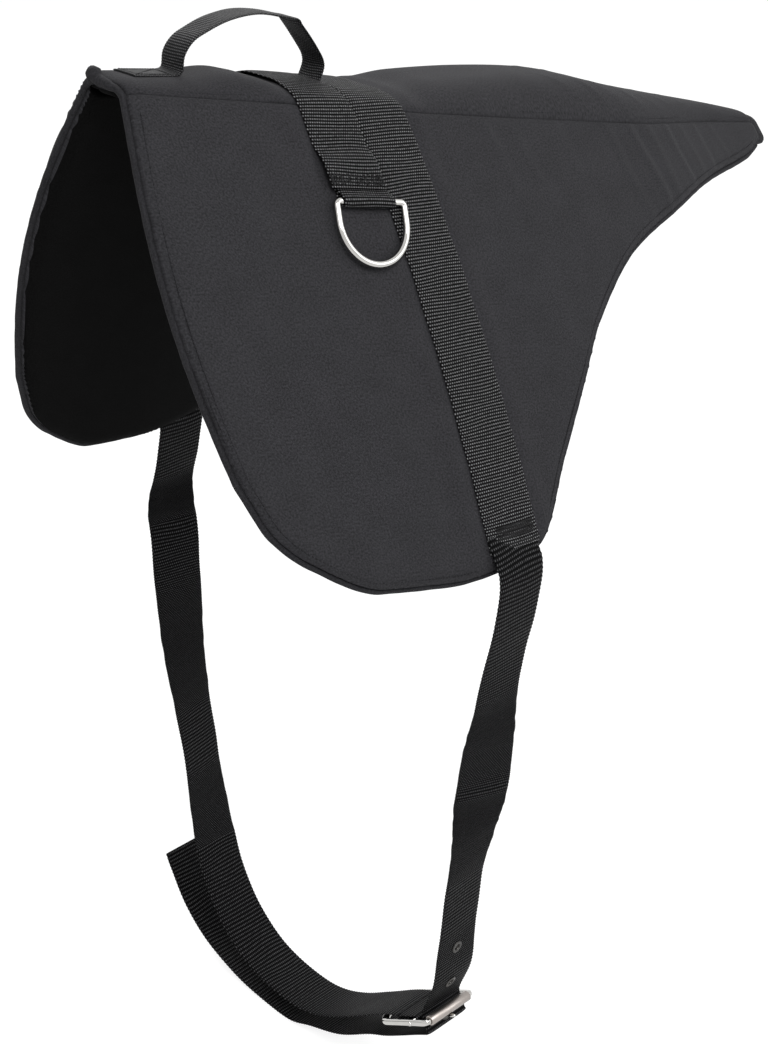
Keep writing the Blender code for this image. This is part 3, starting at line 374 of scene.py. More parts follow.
def flap_edge(x):
    """Depth of a flap's lower edge under the seam."""
    return smooth_curve((0.0, 0.021, 0.052, 0.122, 0.205, 0.253, 0.324, 0.386, 0.446, 0.502, 0.616,
                         0.771, 0.952, 1.0),
                        FLAP_DEPTH * np.array((0.755, 0.865, 0.927, 0.995, 1.0, 0.987, 0.935, 0.76,
                                               0.60, 0.463, 0.287, 0.167, 0.085, 0.045)), x)


def flap_point(side, x, depth):
    """On the flap: y = half seam + the integral of sin(lean - curl d), z falls by that of cos."""
    x, depth = np.broadcast_arrays(np.asarray(x, float), np.asarray(depth, float))
    lean = FLAP_LEAN + FLAP_LEAN_GAIN * x / SPINE_LENGTH
    curl = FLAP_CURL / FLAP_DEPTH
    outward = (np.cos(lean - curl * depth) - np.cos(lean)) / curl
    downward = (np.sin(lean) - np.sin(lean - curl * depth)) / curl
    return np.stack([x, side * (seam_half(x) + outward), SEAM_HEIGHT - SPINE_FALL * x - downward], axis=-1)


def seat_point(x, across):
    """On the seat: z = seam level + crown (1 - |across| to the fourth), across from -1 to 1."""
    x, across = np.broadcast_arrays(np.asarray(x, float), np.asarray(across, float))
    height = SEAM_HEIGHT - SPINE_FALL * x + crown(x) * (1 - np.abs(across) ** CROWN_POWER)
    return np.stack([x, across * seam_half(x), height], axis=-1)


def bell(x, middle, spread):
    """exp(-((x - middle) / spread) squared)."""
    return np.exp(-((x - middle) / spread) ** 2)


def sine(places, length, phase=0.0):
    """sin(2 pi places / length + phase)."""
    return np.sin(2 * math.pi * places / length + phase)


def unit(vectors):
    """The same directions, with length one."""
    return vectors / np.linalg.norm(vectors, axis=-1, keepdims=True)


def upward_normal(surface, x, value, size):
    """The cross product of two short central differences, turned to point up."""
    step = PAD_THICKNESS * 0.05
    along = surface(x + step, value) - surface(x - step, value)
    over = surface(x, value + step / size) - surface(x, value - step / size)
    normal = unit(np.cross(along, over))
    return normal * np.sign(normal[..., 2:])


def flap_normal(side, x, depth):
    """Outward normal of a flap."""
    return upward_normal(lambda a, b: flap_point(side, a, b), np.asarray(x, float),
                         np.asarray(depth, float), 1.0)


def seat_normal(x, across):
    """Upward normal of the seat."""
    return upward_normal(seat_point, np.asarray(x, float), np.asarray(across, float), SEAT_HALF)


def mitred(normals, side, x, distance):
    """Normals turned to the seam's own within a short distance of it."""
    x = np.asarray(x, float)
    seam = unit(flap_normal(side, x, np.zeros_like(x)) + seat_normal(x, side * np.ones_like(x)))
    share = np.clip(1 - distance / SEAM_BLEND, 0, 1)[..., None]
    return unit(share * seam + (1 - share) * normals)


def bowed(x, share):
    """Places moved forward to the bowed front edge of a flap: a sine down the edge, fading back."""
    fade = np.clip(1 - (x - FRONT) / (-WEB_WIDTH - FRONT), 0, 1) ** 2
    return x - FRONT_BOW * np.sin(0.9 * math.pi * share) * fade


def flap_rim(steps):
    """The free edge of a flap as place and depth, from the front seam end to the tail."""
    share = np.linspace(0, 1, steps)
    front = np.stack([bowed(FRONT, share), share * flap_edge(FRONT)], axis=-1)
    places = np.concatenate([np.linspace(FRONT, -WEB_WIDTH, steps),
                             np.linspace(-WEB_WIDTH, TAIL, 2 * steps)[1:]])
    lower = np.stack([bowed(places, np.ones_like(places)), flap_edge(places)], axis=-1)
    return np.concatenate([front, lower[1:]])


def pinched(distance, rounding):
    """A quarter circle from 0 at an edge to 1 at the rounding's distance from it."""
    return np.sqrt(1 - (1 - np.clip(distance / rounding, 0, 1)) ** 2)


def edge_spaced(count):
    """Shares from 0 to 1 that lie closer at both ends, (1 - cos(pi k)) / 2."""
    return (1 - np.cos(np.linspace(0, math.pi, count))) / 2


def mesh_piece(name, points, faces, weave_map, finishes, finish_index=None):
    """A mesh from arrays: its map is set corner by corner from its vertices, and it faces outwards."""
    mesh = bpy.data.meshes.new(name)
    mesh.from_pydata(points.tolist(), [], [face for group in faces for face in group.tolist()])
    shape = bmesh.new()
    shape.from_mesh(mesh)
    bmesh.ops.recalc_face_normals(shape, faces=shape.faces)
    shape.to_mesh(mesh)
    shape.free()
    layer = mesh.uv_layers.new(name="weave")
    corners = np.zeros(len(mesh.loops), dtype=np.int32)
    mesh.loops.foreach_get("vertex_index", corners)
    layer.data.foreach_set("uv", weave_map[corners].astype(np.float32).ravel())
    for finish in finishes:
        mesh.materials.append(finish)
    if finish_index is not None:
        mesh.polygons.foreach_set("material_index", finish_index.astype(np.int32))
    mesh.shade_smooth()
    piece = bpy.data.objects.new(name, mesh)
    bpy.context.collection.objects.link(piece)
    return piece


def shell(name, upper, lower, weave_map, finishes, open_cells=None):
    """A closed sheet: one grid is its outer face, the other its inner face, and walls join their rims.

    Vertex (i, j) is number i * columns + j. A wall stands on each cell side that only one kept cell has,
    so cells that are left open get walls as well.
    """
    rows, columns = upper.shape[:2]
    number = np.arange(rows * columns).reshape(rows, columns)
    cells = np.stack([number[:-1, :-1], number[:-1, 1:], number[1:, 1:], number[1:, :-1]], axis=-1)
    keep = np.ones((rows - 1, columns - 1), bool) if open_cells is None else ~open_cells
    top = cells[keep]
    bottom = top[:, ::-1] + number.size
    starts, ends = top.ravel(), np.roll(top, -1, axis=1).ravel()
    lone = ~np.isin(starts * number.size + ends, ends * number.size + starts)
    a, b = starts[lone], ends[lone]
    wall = np.stack([b, a, a + number.size, b + number.size], axis=-1)
    points = np.concatenate([upper.reshape(-1, 3), lower.reshape(-1, 3)])
    index = None
    if len(finishes) > 1:
        index = np.concatenate([np.zeros(len(top)), np.ones(len(bottom)), np.zeros(len(wall))])
    return mesh_piece(name, points, [top, bottom, wall], np.tile(weave_map.reshape(-1, 2), (2, 1)),
                      finishes, index)


def web_puff(x, depth):
    """The cloth's swell beside the webs: two narrow bells on the outer sides of each web."""
    front_reach = np.clip((FRONT_WEB_END + END_FADE - depth) / END_FADE, 0, 1)
    rear = bell(x, WEB_WIDTH + PUFF_PLACE, PUFF_SPREAD)
    front = bell(x, -WEB_WIDTH - PUFF_PLACE, PUFF_SPREAD) * front_reach
    middle = bell(x, -PUFF_PLACE, PUFF_SPREAD) * (1 - front_reach)
    return PUFF_HEIGHT * (rear + front + middle)


# Each crease: its place behind the rear web's front edge, how far down it runs, and its height.
CREASES = ((0.135, 0.05, 0.5), (0.168, 0.08, 0.4), (0.222, 0.05, 0.4), (0.288, 0.10, 0.6), (0.322, 0.13, 1.0),
           (0.347, 0.09, 0.5), (0.380, 0.11, 0.9), (0.409, 0.06, 0.4), (0.438, 0.07, 0.6), (0.474, 0.04, 0.4))


def flap_creases(side, x, depth):
    """Slow swells all over, and narrow creases that run down from the seam behind the webs and die away."""
    swell = sine(x, SWELL_LENGTH, 0.4 * math.pi) * sine(depth, SWELL_DEPTH, 0.3 * math.pi * side)
    rise = 0.5 * swell + 0.3 * bell(x, 0.075, 0.02) * sine(depth, 0.055)
    for place, length, height in CREASES:
        wander = CREASE_WANDER * np.sin(depth * 70 + place * 90)
        line = x - place - 0.004 * side - CREASE_SLANT * depth - wander
        fade = bell(depth, 0.3 * length, length)
        rise = rise + height * fade * (bell(line, 0.0, CREASE_WIDTH)
                                       - 0.6 * bell(line, 2 * CREASE_WIDTH, CREASE_WIDTH))
    return CREASE_HEIGHT * rise


def leaf_faces(points, normals, from_edge, from_seam, rise):
    """Outer and inner faces: they round off towards the free edge, and dip to a groove at the seam, where
    they never come closer than the seam's thickness."""
    thickness = RIM_THICKNESS + (PAD_THICKNESS - RIM_THICKNESS) * pinched(from_edge, RIM_ROUNDING)
    seam = pinched(from_seam, SEAM_DIP_WIDTH)
    outer = -(PAD_THICKNESS - thickness) / 2 - SEAM_DIP * (1 - seam)
    inner = -(PAD_THICKNESS + thickness) / 2 + 3 * SEAM_DIP * (1 - seam)
    inner = np.minimum(inner, outer - SEAM_THICKNESS)
    fade = pinched(np.minimum(from_edge, 2 * from_seam), EDGE_ROUNDING)
    return points + (outer + rise * fade)[..., None] * normals, points + inner[..., None] * normals


def beside_band(x, middle, width, blend):
    """0 under a web of that middle and width, which rises to 1 beside it."""
    return pinched(np.clip(np.abs(x - middle) - width / 2, 0, 1), blend)


for side, name in ((NEAR, "left_flap"), (FAR, "right_flap")):
    share, x = np.meshgrid(edge_spaced(LEAF_ROWS), FRONT + SPINE_LENGTH * edge_spaced(LEAF_COLUMNS),
                           indexing="ij")
    depth = share * flap_edge(x)
    x = bowed(x, share)
    normals = mitred(flap_normal(side, x, depth), side, x, depth)
    tail_edge = np.stack([np.full(8, TAIL), np.linspace(0, flap_edge(TAIL), 8)], axis=-1)
    rim = np.concatenate([flap_rim(RIM_STEPS), tail_edge])
    from_edge = np.min([np.hypot(x - place, depth - low) for place, low in rim], axis=0)
    web_band = beside_band(x, WEB_WIDTH / 2, WEB_WIDTH, WEB_BAND)
    front_band = np.where(depth < FRONT_WEB_END + END_FADE,
                          beside_band(x, -WEB_WIDTH / 2, WEB_WIDTH, WEB_BAND), 1.0)
    rise = (web_puff(x, depth) + flap_creases(side, x, depth)) * web_band * front_band
    outer, inner = leaf_faces(flap_point(side, x, depth), normals, from_edge, depth, rise)
    pad = shell(f"{name}_pad", outer, inner, np.stack([x, depth], axis=-1), [cover_cloth, lining_with_painted_shade])
    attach(pad, "pad")
    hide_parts(f"{name}_cover", f"{name}_foam", f"{name}_lining")


# Seat
# The crowned panel on the horse's back is cut from the same cloth and foam, and joins both flaps.
# It swells along its middle and sinks where the webs cross it.

SEAT_ROWS = 60
SEAT_PUFF_HEIGHT = 0.0014
SEAT_PUFF_PLACE = 0.014
SEAT_PUFF_SPREAD = 0.010
SEAT_SWELL_HEIGHT = 0.0006
SEAT_SWELL_LENGTH = 0.17
SEAT_BAND = 0.008
SEAT_CREASE_SHARE = 0.7

share, x = np.meshgrid(edge_spaced(SEAT_ROWS), FRONT + SPINE_LENGTH * edge_spaced(LEAF_COLUMNS),
                       indexing="ij")
across = (2 * share - 1) * (1 + SEAM_LAP / seam_half(x))
from_seam = (1 - np.abs(across)) * seam_half(x)
normals = seat_normal(x, across)
for side in (NEAR, FAR):
    normals = np.where((across * side > 0)[..., None], mitred(normals, side, x, from_seam), normals)
ends = np.minimum(x - FRONT, TAIL - x)
bands = beside_band(x, 0.0, 2 * WEB_WIDTH, SEAT_BAND)
swell = SEAT_SWELL_HEIGHT * sine(x, SEAT_SWELL_LENGTH) * np.cos(across * 2.4)
for place, length, height in CREASES[3:]:
    line = x - place + 0.012 + 0.035 * (1 - np.abs(across)) - 0.008 * np.sign(across)
    crease = bell(line, 0.0, CREASE_WIDTH) * bell(np.abs(across), 0.55, 0.25)
    swell = swell + SEAT_CREASE_SHARE * CREASE_HEIGHT * height * crease
puff = SEAT_PUFF_HEIGHT * (bell(x, WEB_WIDTH + SEAT_PUFF_PLACE, SEAT_PUFF_SPREAD)
                           + bell(x, -WEB_WIDTH - SEAT_PUFF_PLACE, SEAT_PUFF_SPREAD))
outer, inner = leaf_faces(seat_point(x, across), normals, ends, from_seam, (swell + puff) * bands)
seat_pad = shell("seat_pad", outer, inner, np.stack([x, across * SEAT_HALF], axis=-1),
                 [cover_cloth, lining_with_painted_shade])
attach(seat_pad, "pad")
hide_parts("seat_cover", "seat_foam", "seat_lining")


# Rolled hems
# The cloth's free edges are turned in and rolled to a thin cord, round each flap and across the
# gullet, where the cloth bunches a little. A rounded cap of the same cloth is sewn over the tail.

ROLL_RADIUS = 0.0024
ROLL_PLACE = 0.75 * ROLL_RADIUS
HEM_STEP = 0.0035
HEM_SIDES = 14
HEM_TAIL_GAP = 0.006
CAP_SIDES = 24
CAP_HALF_THICKNESS = 0.0062


def even_turns(count):
    """Equal angles round a circle."""
    return np.arange(count) * 2 * math.pi / count


def tube_rings(centres, normals, radius, sides, closed=False):
    """Rings of points round a path: centre + radius (cos a across + sin a up)."""
    along = np.gradient(centres, axis=0)
    if closed:
        along = np.roll(centres, -1, axis=0) - np.roll(centres, 1, axis=0)
    along = unit(along)
    across = unit(np.cross(along, normals))
    upward = np.cross(across, along)
    angles = even_turns(sides)
    radius = np.broadcast_to(np.asarray(radius, float), len(centres))[:, None, None]
    return centres[:, None] + radius * (np.cos(angles)[None, :, None] * across[:, None]
                                        + np.sin(angles)[None, :, None] * upward[:, None])


def length_along(points):
    """How far each point lies along the path."""
    return np.concatenate([[0], np.cumsum(np.linalg.norm(np.diff(points, axis=0), axis=-1))])


def lofted(name, rings, finishes, closed=False):
    """A surface through rings of points, with a fan to a middle point at each open end."""
    count, sides = rings.shape[:2]
    number = np.arange(count * sides).reshape(count, sides)
    this = number if closed else number[:-1]
    following = np.roll(number, -1, axis=0) if closed else number[1:]
    quads = np.stack([this, np.roll(this, -1, axis=1), np.roll(following, -1, axis=1), following],
                     axis=-1).reshape(-1, 4)
    points = rings.reshape(-1, 3)
    travel = length_along(rings.mean(axis=1))
    girth = np.linalg.norm(rings[0] - np.roll(rings[0], 1, axis=0), axis=-1).sum()
    weave_map = np.stack([np.tile(np.arange(sides) * girth / sides, count), np.repeat(travel, sides)],
                         axis=-1)
    faces = [quads]
    if not closed:
        points = np.concatenate([points, [rings[0].mean(axis=0), rings[-1].mean(axis=0)]])
        weave_map = np.concatenate([weave_map, [[0, 0], [0, travel[-1]]]])
        for middle, ring in ((count * sides, number[0]), (count * sides + 1, number[-1])):
            faces.append(np.stack([ring, np.roll(ring, -1), np.full(sides, middle)], axis=-1))
    return mesh_piece(name, points, faces, weave_map, finishes)


def resampled(points, count):
    """The path at equal steps of its own length."""
    travel = length_along(points)
    wanted = np.linspace(0, travel[-1], count)
    return np.stack([np.interp(wanted, travel, points[:, axis]) for axis in range(points.shape[1])], axis=-1)


def along_path(points, step):
    """The path at equal steps of about the given length."""
    return resampled(points, max(3, int(round(length_along(points)[-1] / step)) + 1))


def hem_side(side):
    """A flap's free edge in the padding's middle, from the front seam end to the tail, with its normals."""
    rim = along_path(flap_rim(2 * RIM_STEPS), HEM_STEP)
    rim = rim[rim[:, 0] < TAIL - HEM_TAIL_GAP]
    normals = mitred(flap_normal(side, rim[:, 0], rim[:, 1]), side, rim[:, 0], rim[:, 1])
    middle = flap_point(side, rim[:, 0], rim[:, 1]) - normals * PAD_THICKNESS / 2
    outward = unit(np.cross(normals, unit(np.gradient(middle, axis=0)))) * side
    return middle + outward * ROLL_PLACE, normals


near_middle, near_normals = hem_side(NEAR)
far_middle, far_normals = hem_side(FAR)
across = np.linspace(-0.96, 0.96, 30)
front_normals = seat_normal(np.full_like(across, FRONT), across)
for side in (NEAR, FAR):
    from_seam = (1 - np.abs(across)) * seam_half(FRONT)
    turned_in = mitred(front_normals, side, np.full_like(across, FRONT), from_seam)
    front_normals = np.where((across * side > 0)[:, None], turned_in, front_normals)
bunched = 0.5 * bell(across, 0.1, 0.5) + 0.9 * bell(across, 0.42, 0.16)
front_middle = seat_point(FRONT, across) - front_normals * (PAD_THICKNESS / 2 - bunched[:, None] * 0.005)
front_middle[:, 0] -= ROLL_PLACE
middle = np.concatenate([near_middle[::-1], front_middle, far_middle])
normals = np.concatenate([near_normals[::-1], front_normals, far_normals])
number = np.arange(len(middle))
lumps = 1 + 0.05 * np.sin(number * 0.9) * np.sin(number * 0.23)
thickened = np.concatenate([np.ones(len(near_middle)), 1 + bunched, np.ones(len(far_middle))])
thick = 1.1 * ROLL_RADIUS * lumps * thickened
hem = lofted("rolled_hem", tube_rings(middle, normals, thick, HEM_SIDES), [hem_cloth])
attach(hem, "pad")
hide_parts("left_edge_roll", "right_edge_roll", "front_edge_roll")

depths = np.linspace(flap_edge(TAIL) + 0.002, 0.001, 10)
tail_x = np.full_like(depths, TAIL)
cap_points, cap_normals = [], []
for side, order in ((NEAR, 1), (FAR, -1)):
    edge_normals = mitred(flap_normal(side, tail_x, depths), side, tail_x, depths)
    cap_points.append((flap_point(side, tail_x, depths) - edge_normals * PAD_THICKNESS / 2)[::order])
    cap_normals.append(edge_normals[::order])
across = np.linspace(-0.95, 0.95, 24)
top_normals = seat_normal(np.full_like(across, TAIL), across)
top_points = seat_point(TAIL, across) - top_normals * PAD_THICKNESS / 2
path = np.concatenate([cap_points[0], top_points, cap_points[1]])
normals = unit(np.concatenate([cap_normals[0], top_normals, cap_normals[1]]))
turn = even_turns(CAP_SIDES)
from_end = np.minimum(np.arange(len(path)), np.arange(len(path))[::-1])
rounding = pinched(from_end + 0.6, 4.0)[:, None]
rearward = np.array([1.0, 0.0, -SPINE_FALL])
reach = 0.001 + (0.0025 + 0.0095 * rounding) * np.cos(turn)
rise = CAP_HALF_THICKNESS * rounding * np.sin(turn)
rings = path[:, None] + rearward * reach[..., None] + normals[:, None] * rise[..., None]
cap = lofted("tail_cap", rings, [hem_cloth])
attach(cap, "pad")
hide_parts("tail_binding")


# Crossing webs
# Two 50 mm webs of ribbed black polyester lie side by side over the seat. The front one ends on
# the flaps over the ring chapes, and the rear one runs to the bottom of both flaps.
# Each rib is a real ridge across the web, and the yarns on it are dots in the weave whose glints are
# painted highlights; the grooves between the ribs get painted shade.

WEB_THICKNESS = 0.002
HALF_WEB = WEB_THICKNESS / 2
WEB_TURN = 0.014
WEB_LINES = 21
TOP_SHARE = 0.92
RIB_PITCH = 0.0026
YARN_PITCH = 0.0021
RIB_HEIGHT = 0.00013
RIB_WAVER = 0.0007
SELVEDGE_STEP = 0.00018
EDGE_DRIFT = 0.0004
WEB_SWAY = 0.00022
CHAPE_HIDDEN = 0.020
WEB_END_LIFT_RUN = 0.016
HANDLE_WIDTH = 0.025
GIRTH_WEB_END = FLAP_DEPTH - 0.027
GIRTH_WEB_SLANT = 0.008
WEB_SLIT = HALF_WEB + 2 * GAP

# The yarns of every other rib are shifted by half their pitch. Height is rib (0.65 + 0.35 yarn), and
# shade is rib to the power 2.4, times yarn to the power 1.7, times (2.4 grain - 0.25). This shade is
# painted light: painted highlights on the yarns of the rib tops and painted shade in the grooves, with
# the grain as the web's own uneven tone.
rib_weave_painted_highlights, entry, leave = shader_group(
    "rib_weave_painted_highlights",
    [("Weave", "NodeSocketVector", None), ("Rib pitch", "NodeSocketFloat", RIB_PITCH),
     ("Yarn pitch", "NodeSocketFloat", YARN_PITCH)],
    [("Height", "NodeSocketFloat"), ("Shade", "NodeSocketFloat")])
parts = rib_weave_painted_highlights.nodes.new("ShaderNodeSeparateXYZ")
rib_weave_painted_highlights.links.new(entry.outputs["Weave"], parts.inputs[0])
rib = wave(rib_weave_painted_highlights, parts.outputs["Y"], entry.outputs["Rib pitch"])
ribs_passed = calc(rib_weave_painted_highlights, "DIVIDE", parts.outputs["Y"], entry.outputs["Rib pitch"])
row = calc(rib_weave_painted_highlights, "FLOOR", calc(rib_weave_painted_highlights, "ADD", ribs_passed, 0.25))
yarn = wave(rib_weave_painted_highlights, parts.outputs["X"], entry.outputs["Yarn pitch"], calc(rib_weave_painted_highlights, "MULTIPLY", row, 0.5))
grain = speckle(rib_weave_painted_highlights, entry.outputs["Weave"], 420.0)
height = calc(rib_weave_painted_highlights, "MULTIPLY", rib, calc(rib_weave_painted_highlights, "MULTIPLY_ADD", yarn, 0.35, 0.65))
rib_weave_painted_highlights.links.new(height, leave.inputs["Height"])
# light: painted highlights on the yarns of the rib tops, falling to painted shade in the grooves.
light = calc(rib_weave_painted_highlights, "MULTIPLY", calc(rib_weave_painted_highlights, "POWER", rib, 2.4), calc(rib_weave_painted_highlights, "POWER", yarn, 1.7))
light = calc(rib_weave_painted_highlights, "MULTIPLY", light, calc(rib_weave_painted_highlights, "MULTIPLY_ADD", grain, 2.4, -0.25))
rib_weave_painted_highlights.links.new(light, leave.inputs["Shade"])

# The light colour is the painted highlight of the webbing's shiny yarns; the dark one is the black webbing.
web_finish = woven_finish("ribbed_web", rib_weave_painted_highlights, {"Rib pitch": RIB_PITCH, "Yarn pitch": YARN_PITCH},
                          (0.0008, 0.0008, 0.0009), (0.225, 0.225, 0.23), 0.5, 0.0, 0.0005, gloss=0.05)


def web_across(width):
    """Places across a web, closer at its edges: w / 2 times sin of an even angle."""
    return width / 2 * np.sin(np.linspace(-math.pi / 2, math.pi / 2, WEB_LINES))


def ribbed(name, centre, across, normal, offsets, travel, width, finish, pitch, rib_height, open_cells=None):
    """Webbing round a grid of middle points: half the thickness, which thins to the selvedge as the
    eighth power of the place across, plus a sine ridge for each rib, on both faces. Slow sines along
    it let the ribs waver, the edges drift and the web sway."""
    wide = 1 - np.abs(2 * offsets / width) ** 8
    half = HALF_WEB * np.clip(np.sqrt(np.clip(wide, 0, 1)), 0.35, 1)[None, :]
    waver = RIB_WAVER * sine(travel, 0.047)[:, None] * np.sin(5 * offsets / width + 0.8)
    rib_travel = travel[:, None] + waver * sine(travel, 0.19, 0.9)[:, None]
    ridge = rib_height * (sine(rib_travel, pitch) - 1)
    selvedge = (1 - wide)[None, :] * SELVEDGE_STEP * sine(rib_travel, pitch) * np.sign(offsets)
    drift = EDGE_DRIFT * sine(travel, 0.063, 1.1) * sine(travel, 0.29)
    sway = WEB_SWAY * (1 + sine(travel, 0.041)[:, None] * np.cos(offsets / width * 5 + 0.7)
                       * sine(travel, 0.113, 0.5)[:, None])
    middle = centre + across * (selvedge + drift[:, None])[..., None] + normal * sway[..., None]
    rise = (half + ridge)[..., None]
    weave_map = np.stack(np.broadcast_arrays(offsets[None, :], rib_travel), axis=-1)
    return shell(name, middle + normal * rise, middle - normal * rise, weave_map, [finish], open_cells)


def web_line(x, end, notch):
    """The pad's surface under one line of a web: up the near flap, round the seam, over the seat."""
    tops = np.linspace(-TOP_SHARE, TOP_SHARE, 90)
    run = np.linspace(end, WEB_TURN, 200)
    bend = np.linspace(0, 1, 14)[1:-1, None]

    def turn(side):
        """(1 - s) squared of the flap's place, 2 s (1 - s) of the seam's and s squared of the seat's."""
        start, corner = flap_point(side, x, WEB_TURN), seat_point(x, side)
        stop = seat_point(x, side * TOP_SHARE)
        return (1 - bend) ** 2 * start + 2 * bend * (1 - bend) * corner + bend ** 2 * stop

    shift = notch * np.clip(1.5 - np.abs(tops) * seam_half(x) / HANDLE_WIDTH, 0, 1)
    return np.concatenate([flap_point(NEAR, x, run), turn(NEAR), seat_point(x + shift, tops), turn(FAR)[::-1],
                           flap_point(FAR, x, run)[::-1]])


def eased(share):
    """3 s squared - 2 s cubed, for a share held between 0 and 1."""
    share = np.clip(share, 0, 1)
    return share * share * (3 - 2 * share)


def make_web(name, start, stop, end, slant, lifts, notches):
    """A web from lines beside each other, each cut at equal steps, lifted over what lies under it."""
    offsets = web_across(stop - start)
    places = (start + stop) / 2 + offsets
    middle = web_line((start + stop) / 2, end + slant / 2, 0.0)
    count = int(length_along(middle)[-1] / (RIB_PITCH / 4))
    lines = []
    for place, part in zip(places, (places - start) / (stop - start)):
        line = web_line(place, end + slant * (1 - part), notches[0] * (1 - part) + notches[1] * part)
        lines.append(resampled(line, count))
    grid = np.stack(lines, axis=1)
    travel = np.linspace(0, length_along(grid[:, WEB_LINES // 2])[-1], count)
    along, across = unit(np.gradient(grid, axis=0)), unit(np.gradient(grid, axis=1))
    normal = unit(np.cross(across, along))
    normal = normal * np.sign(normal[..., 2:])
    from_end = np.minimum(travel, travel[-1] - travel)
    from_middle = np.abs(travel - travel[-1] / 2)
    end_share = eased(1 - (from_end - CHAPE_HIDDEN) / WEB_END_LIFT_RUN)
    top_share = eased(1 - (from_middle - HANDLE_WIDTH / 2 - HALF_WEB) / WEB_END_LIFT_RUN)
    lift = GAP + lifts[0] * end_share + lifts[1] * top_share + HALF_WEB
    centre = grid + normal * lift[:, None, None]
    web = ribbed(f"{name}_webbing", centre, across, normal, offsets, travel, stop - start, web_finish,
                 RIB_PITCH, RIB_HEIGHT)
    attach(web, "pad")
    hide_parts(name)
    return centre, normal, travel


front_web = make_web("front_web", -WEB_WIDTH, -GAP / 2, FRONT_WEB_END, 0.0,
                     (2 * WEB_THICKNESS + 2 * GAP, WEB_THICKNESS * 0.65), (0.0, -WEB_SLIT))
girth_web = make_web("girth_web", GAP / 2, WEB_WIDTH, GIRTH_WEB_END, GIRTH_WEB_SLANT,
                     (0.0, 0.0), (WEB_SLIT, 0.0))


# Rings and their chapes
# A short doubled web under each end of the front web holds a D ring of 5.6 mm nickel-plated wire,
# which swings about its straight bar.

RING_WIRE_RADIUS = 0.0028
RING_INNER_WIDTH = 0.058
RING_DEPTH = 0.048
RING_SIDE = 0.015
RING_CORNER = 0.0035
CHAPE_WIDTH = 0.045
CHAPE_SHOWN = 0.015
CHAPE_SHIFT = 0.0018
CHAPE_MIDDLE = CHAPE_SHIFT - WEB_WIDTH / 2
CHAPE_EXTRA_WIDTH = 0.003
CHAPE_RIB_HEIGHT = 0.0001
RING_MIDDLE = CHAPE_MIDDLE + 0.004
RING_AROUND = RING_WIRE_RADIUS + GAP + WEB_THICKNESS
RING_AXIS, RING_LIFT = FRONT_WEB_END + CHAPE_SHOWN - RING_AROUND, RING_AROUND + GAP


def plated_finish(name, colour, roughness, spread, stretch):
    """A plated metal: fine rubbing marks from stretched noise vary its roughness and its surface."""
    finish = bpy.data.materials.new(name)
    finish.use_nodes = True
    tree = finish.node_tree
    shader = tree.nodes["Principled BSDF"]
    shader.inputs["Metallic"].default_value = 1.0
    place = tree.nodes.new("ShaderNodeTexCoord")
    mapping = tree.nodes.new("ShaderNodeMapping")
    mapping.inputs["Scale"].default_value = stretch
    tree.links.new(place.outputs["Object"], mapping.inputs["Vector"])
    rubbed = speckle(tree, mapping.outputs[0], 60.0, 4.0)
    cloudy = speckle(tree, place.outputs["Object"], 90.0, 2.0)
    tree.links.new(calc(tree, "MULTIPLY_ADD", rubbed, spread, roughness), shader.inputs["Roughness"])
    coloured(tree, shader, cloudy, [value * 0.82 for value in colour], colour)
    bumped(tree, shader, rubbed, 0.12, 0.00012)
    return finish


nickel = plated_finish("nickel_plate", (0.56, 0.55, 0.53), 0.04, 0.12, (1.0, 1.0, 1.0))


def ring_frame(side):
    """Middle of a ring's bar, with unit directions along the bar, down the flap and out of it."""
    outward = flap_normal(side, RING_MIDDLE, RING_AXIS)
    step = RING_INNER_WIDTH / 2
    ends = flap_point(side, np.array([RING_MIDDLE - step, RING_MIDDLE + step]), RING_AXIS)
    along = unit(ends[1] - ends[0])
    outward = unit(outward - along * np.dot(outward, along))
    down = np.cross(along, outward)
    origin = flap_point(side, RING_MIDDLE, RING_AXIS) + outward * RING_LIFT
    return origin, along, down * np.sign(-down[2]), outward


def bowed_outline(half, corner, side, depth, bar_steps, corner_steps, side_steps, bow_steps):
    """A closed outline as places across and down: a straight bar, two round corners, two straight sides,
    and a half oval from the sides' ends to the full depth."""
    turn, bow = np.radians(np.linspace(0, 90, corner_steps))[1:], np.radians(np.linspace(0, 180, bow_steps))
    turned = np.stack([half - corner + corner * np.sin(turn), corner - corner * np.cos(turn)], axis=-1)
    run = np.stack([np.full(side_steps, half), np.linspace(corner, side, side_steps + 2)[1:-1]], axis=-1)
    bar = np.stack([np.linspace(-1, 1, bar_steps) * (half - corner), np.zeros(bar_steps)], axis=-1)
    return np.concatenate([
        bar, turned, run,
        np.stack([half * np.cos(bow), side + (depth - side) * np.sin(bow)], axis=-1),
        run[::-1] * (-1, 1), turned[::-1] * (-1, 1)])


def strip(name, path, across, width, finish, pitch, rib_height, step=4, open_cells=None):
    """Webbing along a path of points: the path at equal steps, its width along the given directions.
    The middle grid and its normals come back with it."""
    route = along_path(np.concatenate([path, np.broadcast_to(across, path.shape)], axis=1), pitch / step)
    centres, across = route[:, :3], unit(route[:, 3:])
    travel = np.linspace(0, length_along(centres)[-1], len(centres))
    normal = unit(np.cross(unit(np.gradient(centres, axis=0)), across))
    offsets = web_across(width)
    grid = centres[:, None] + across[:, None] * offsets[None, :, None]
    cells = None if open_cells is None else open_cells(grid)
    return ribbed(name, grid, across[:, None], normal[:, None], offsets, travel, width, finish,
                  pitch, rib_height, cells), grid, normal


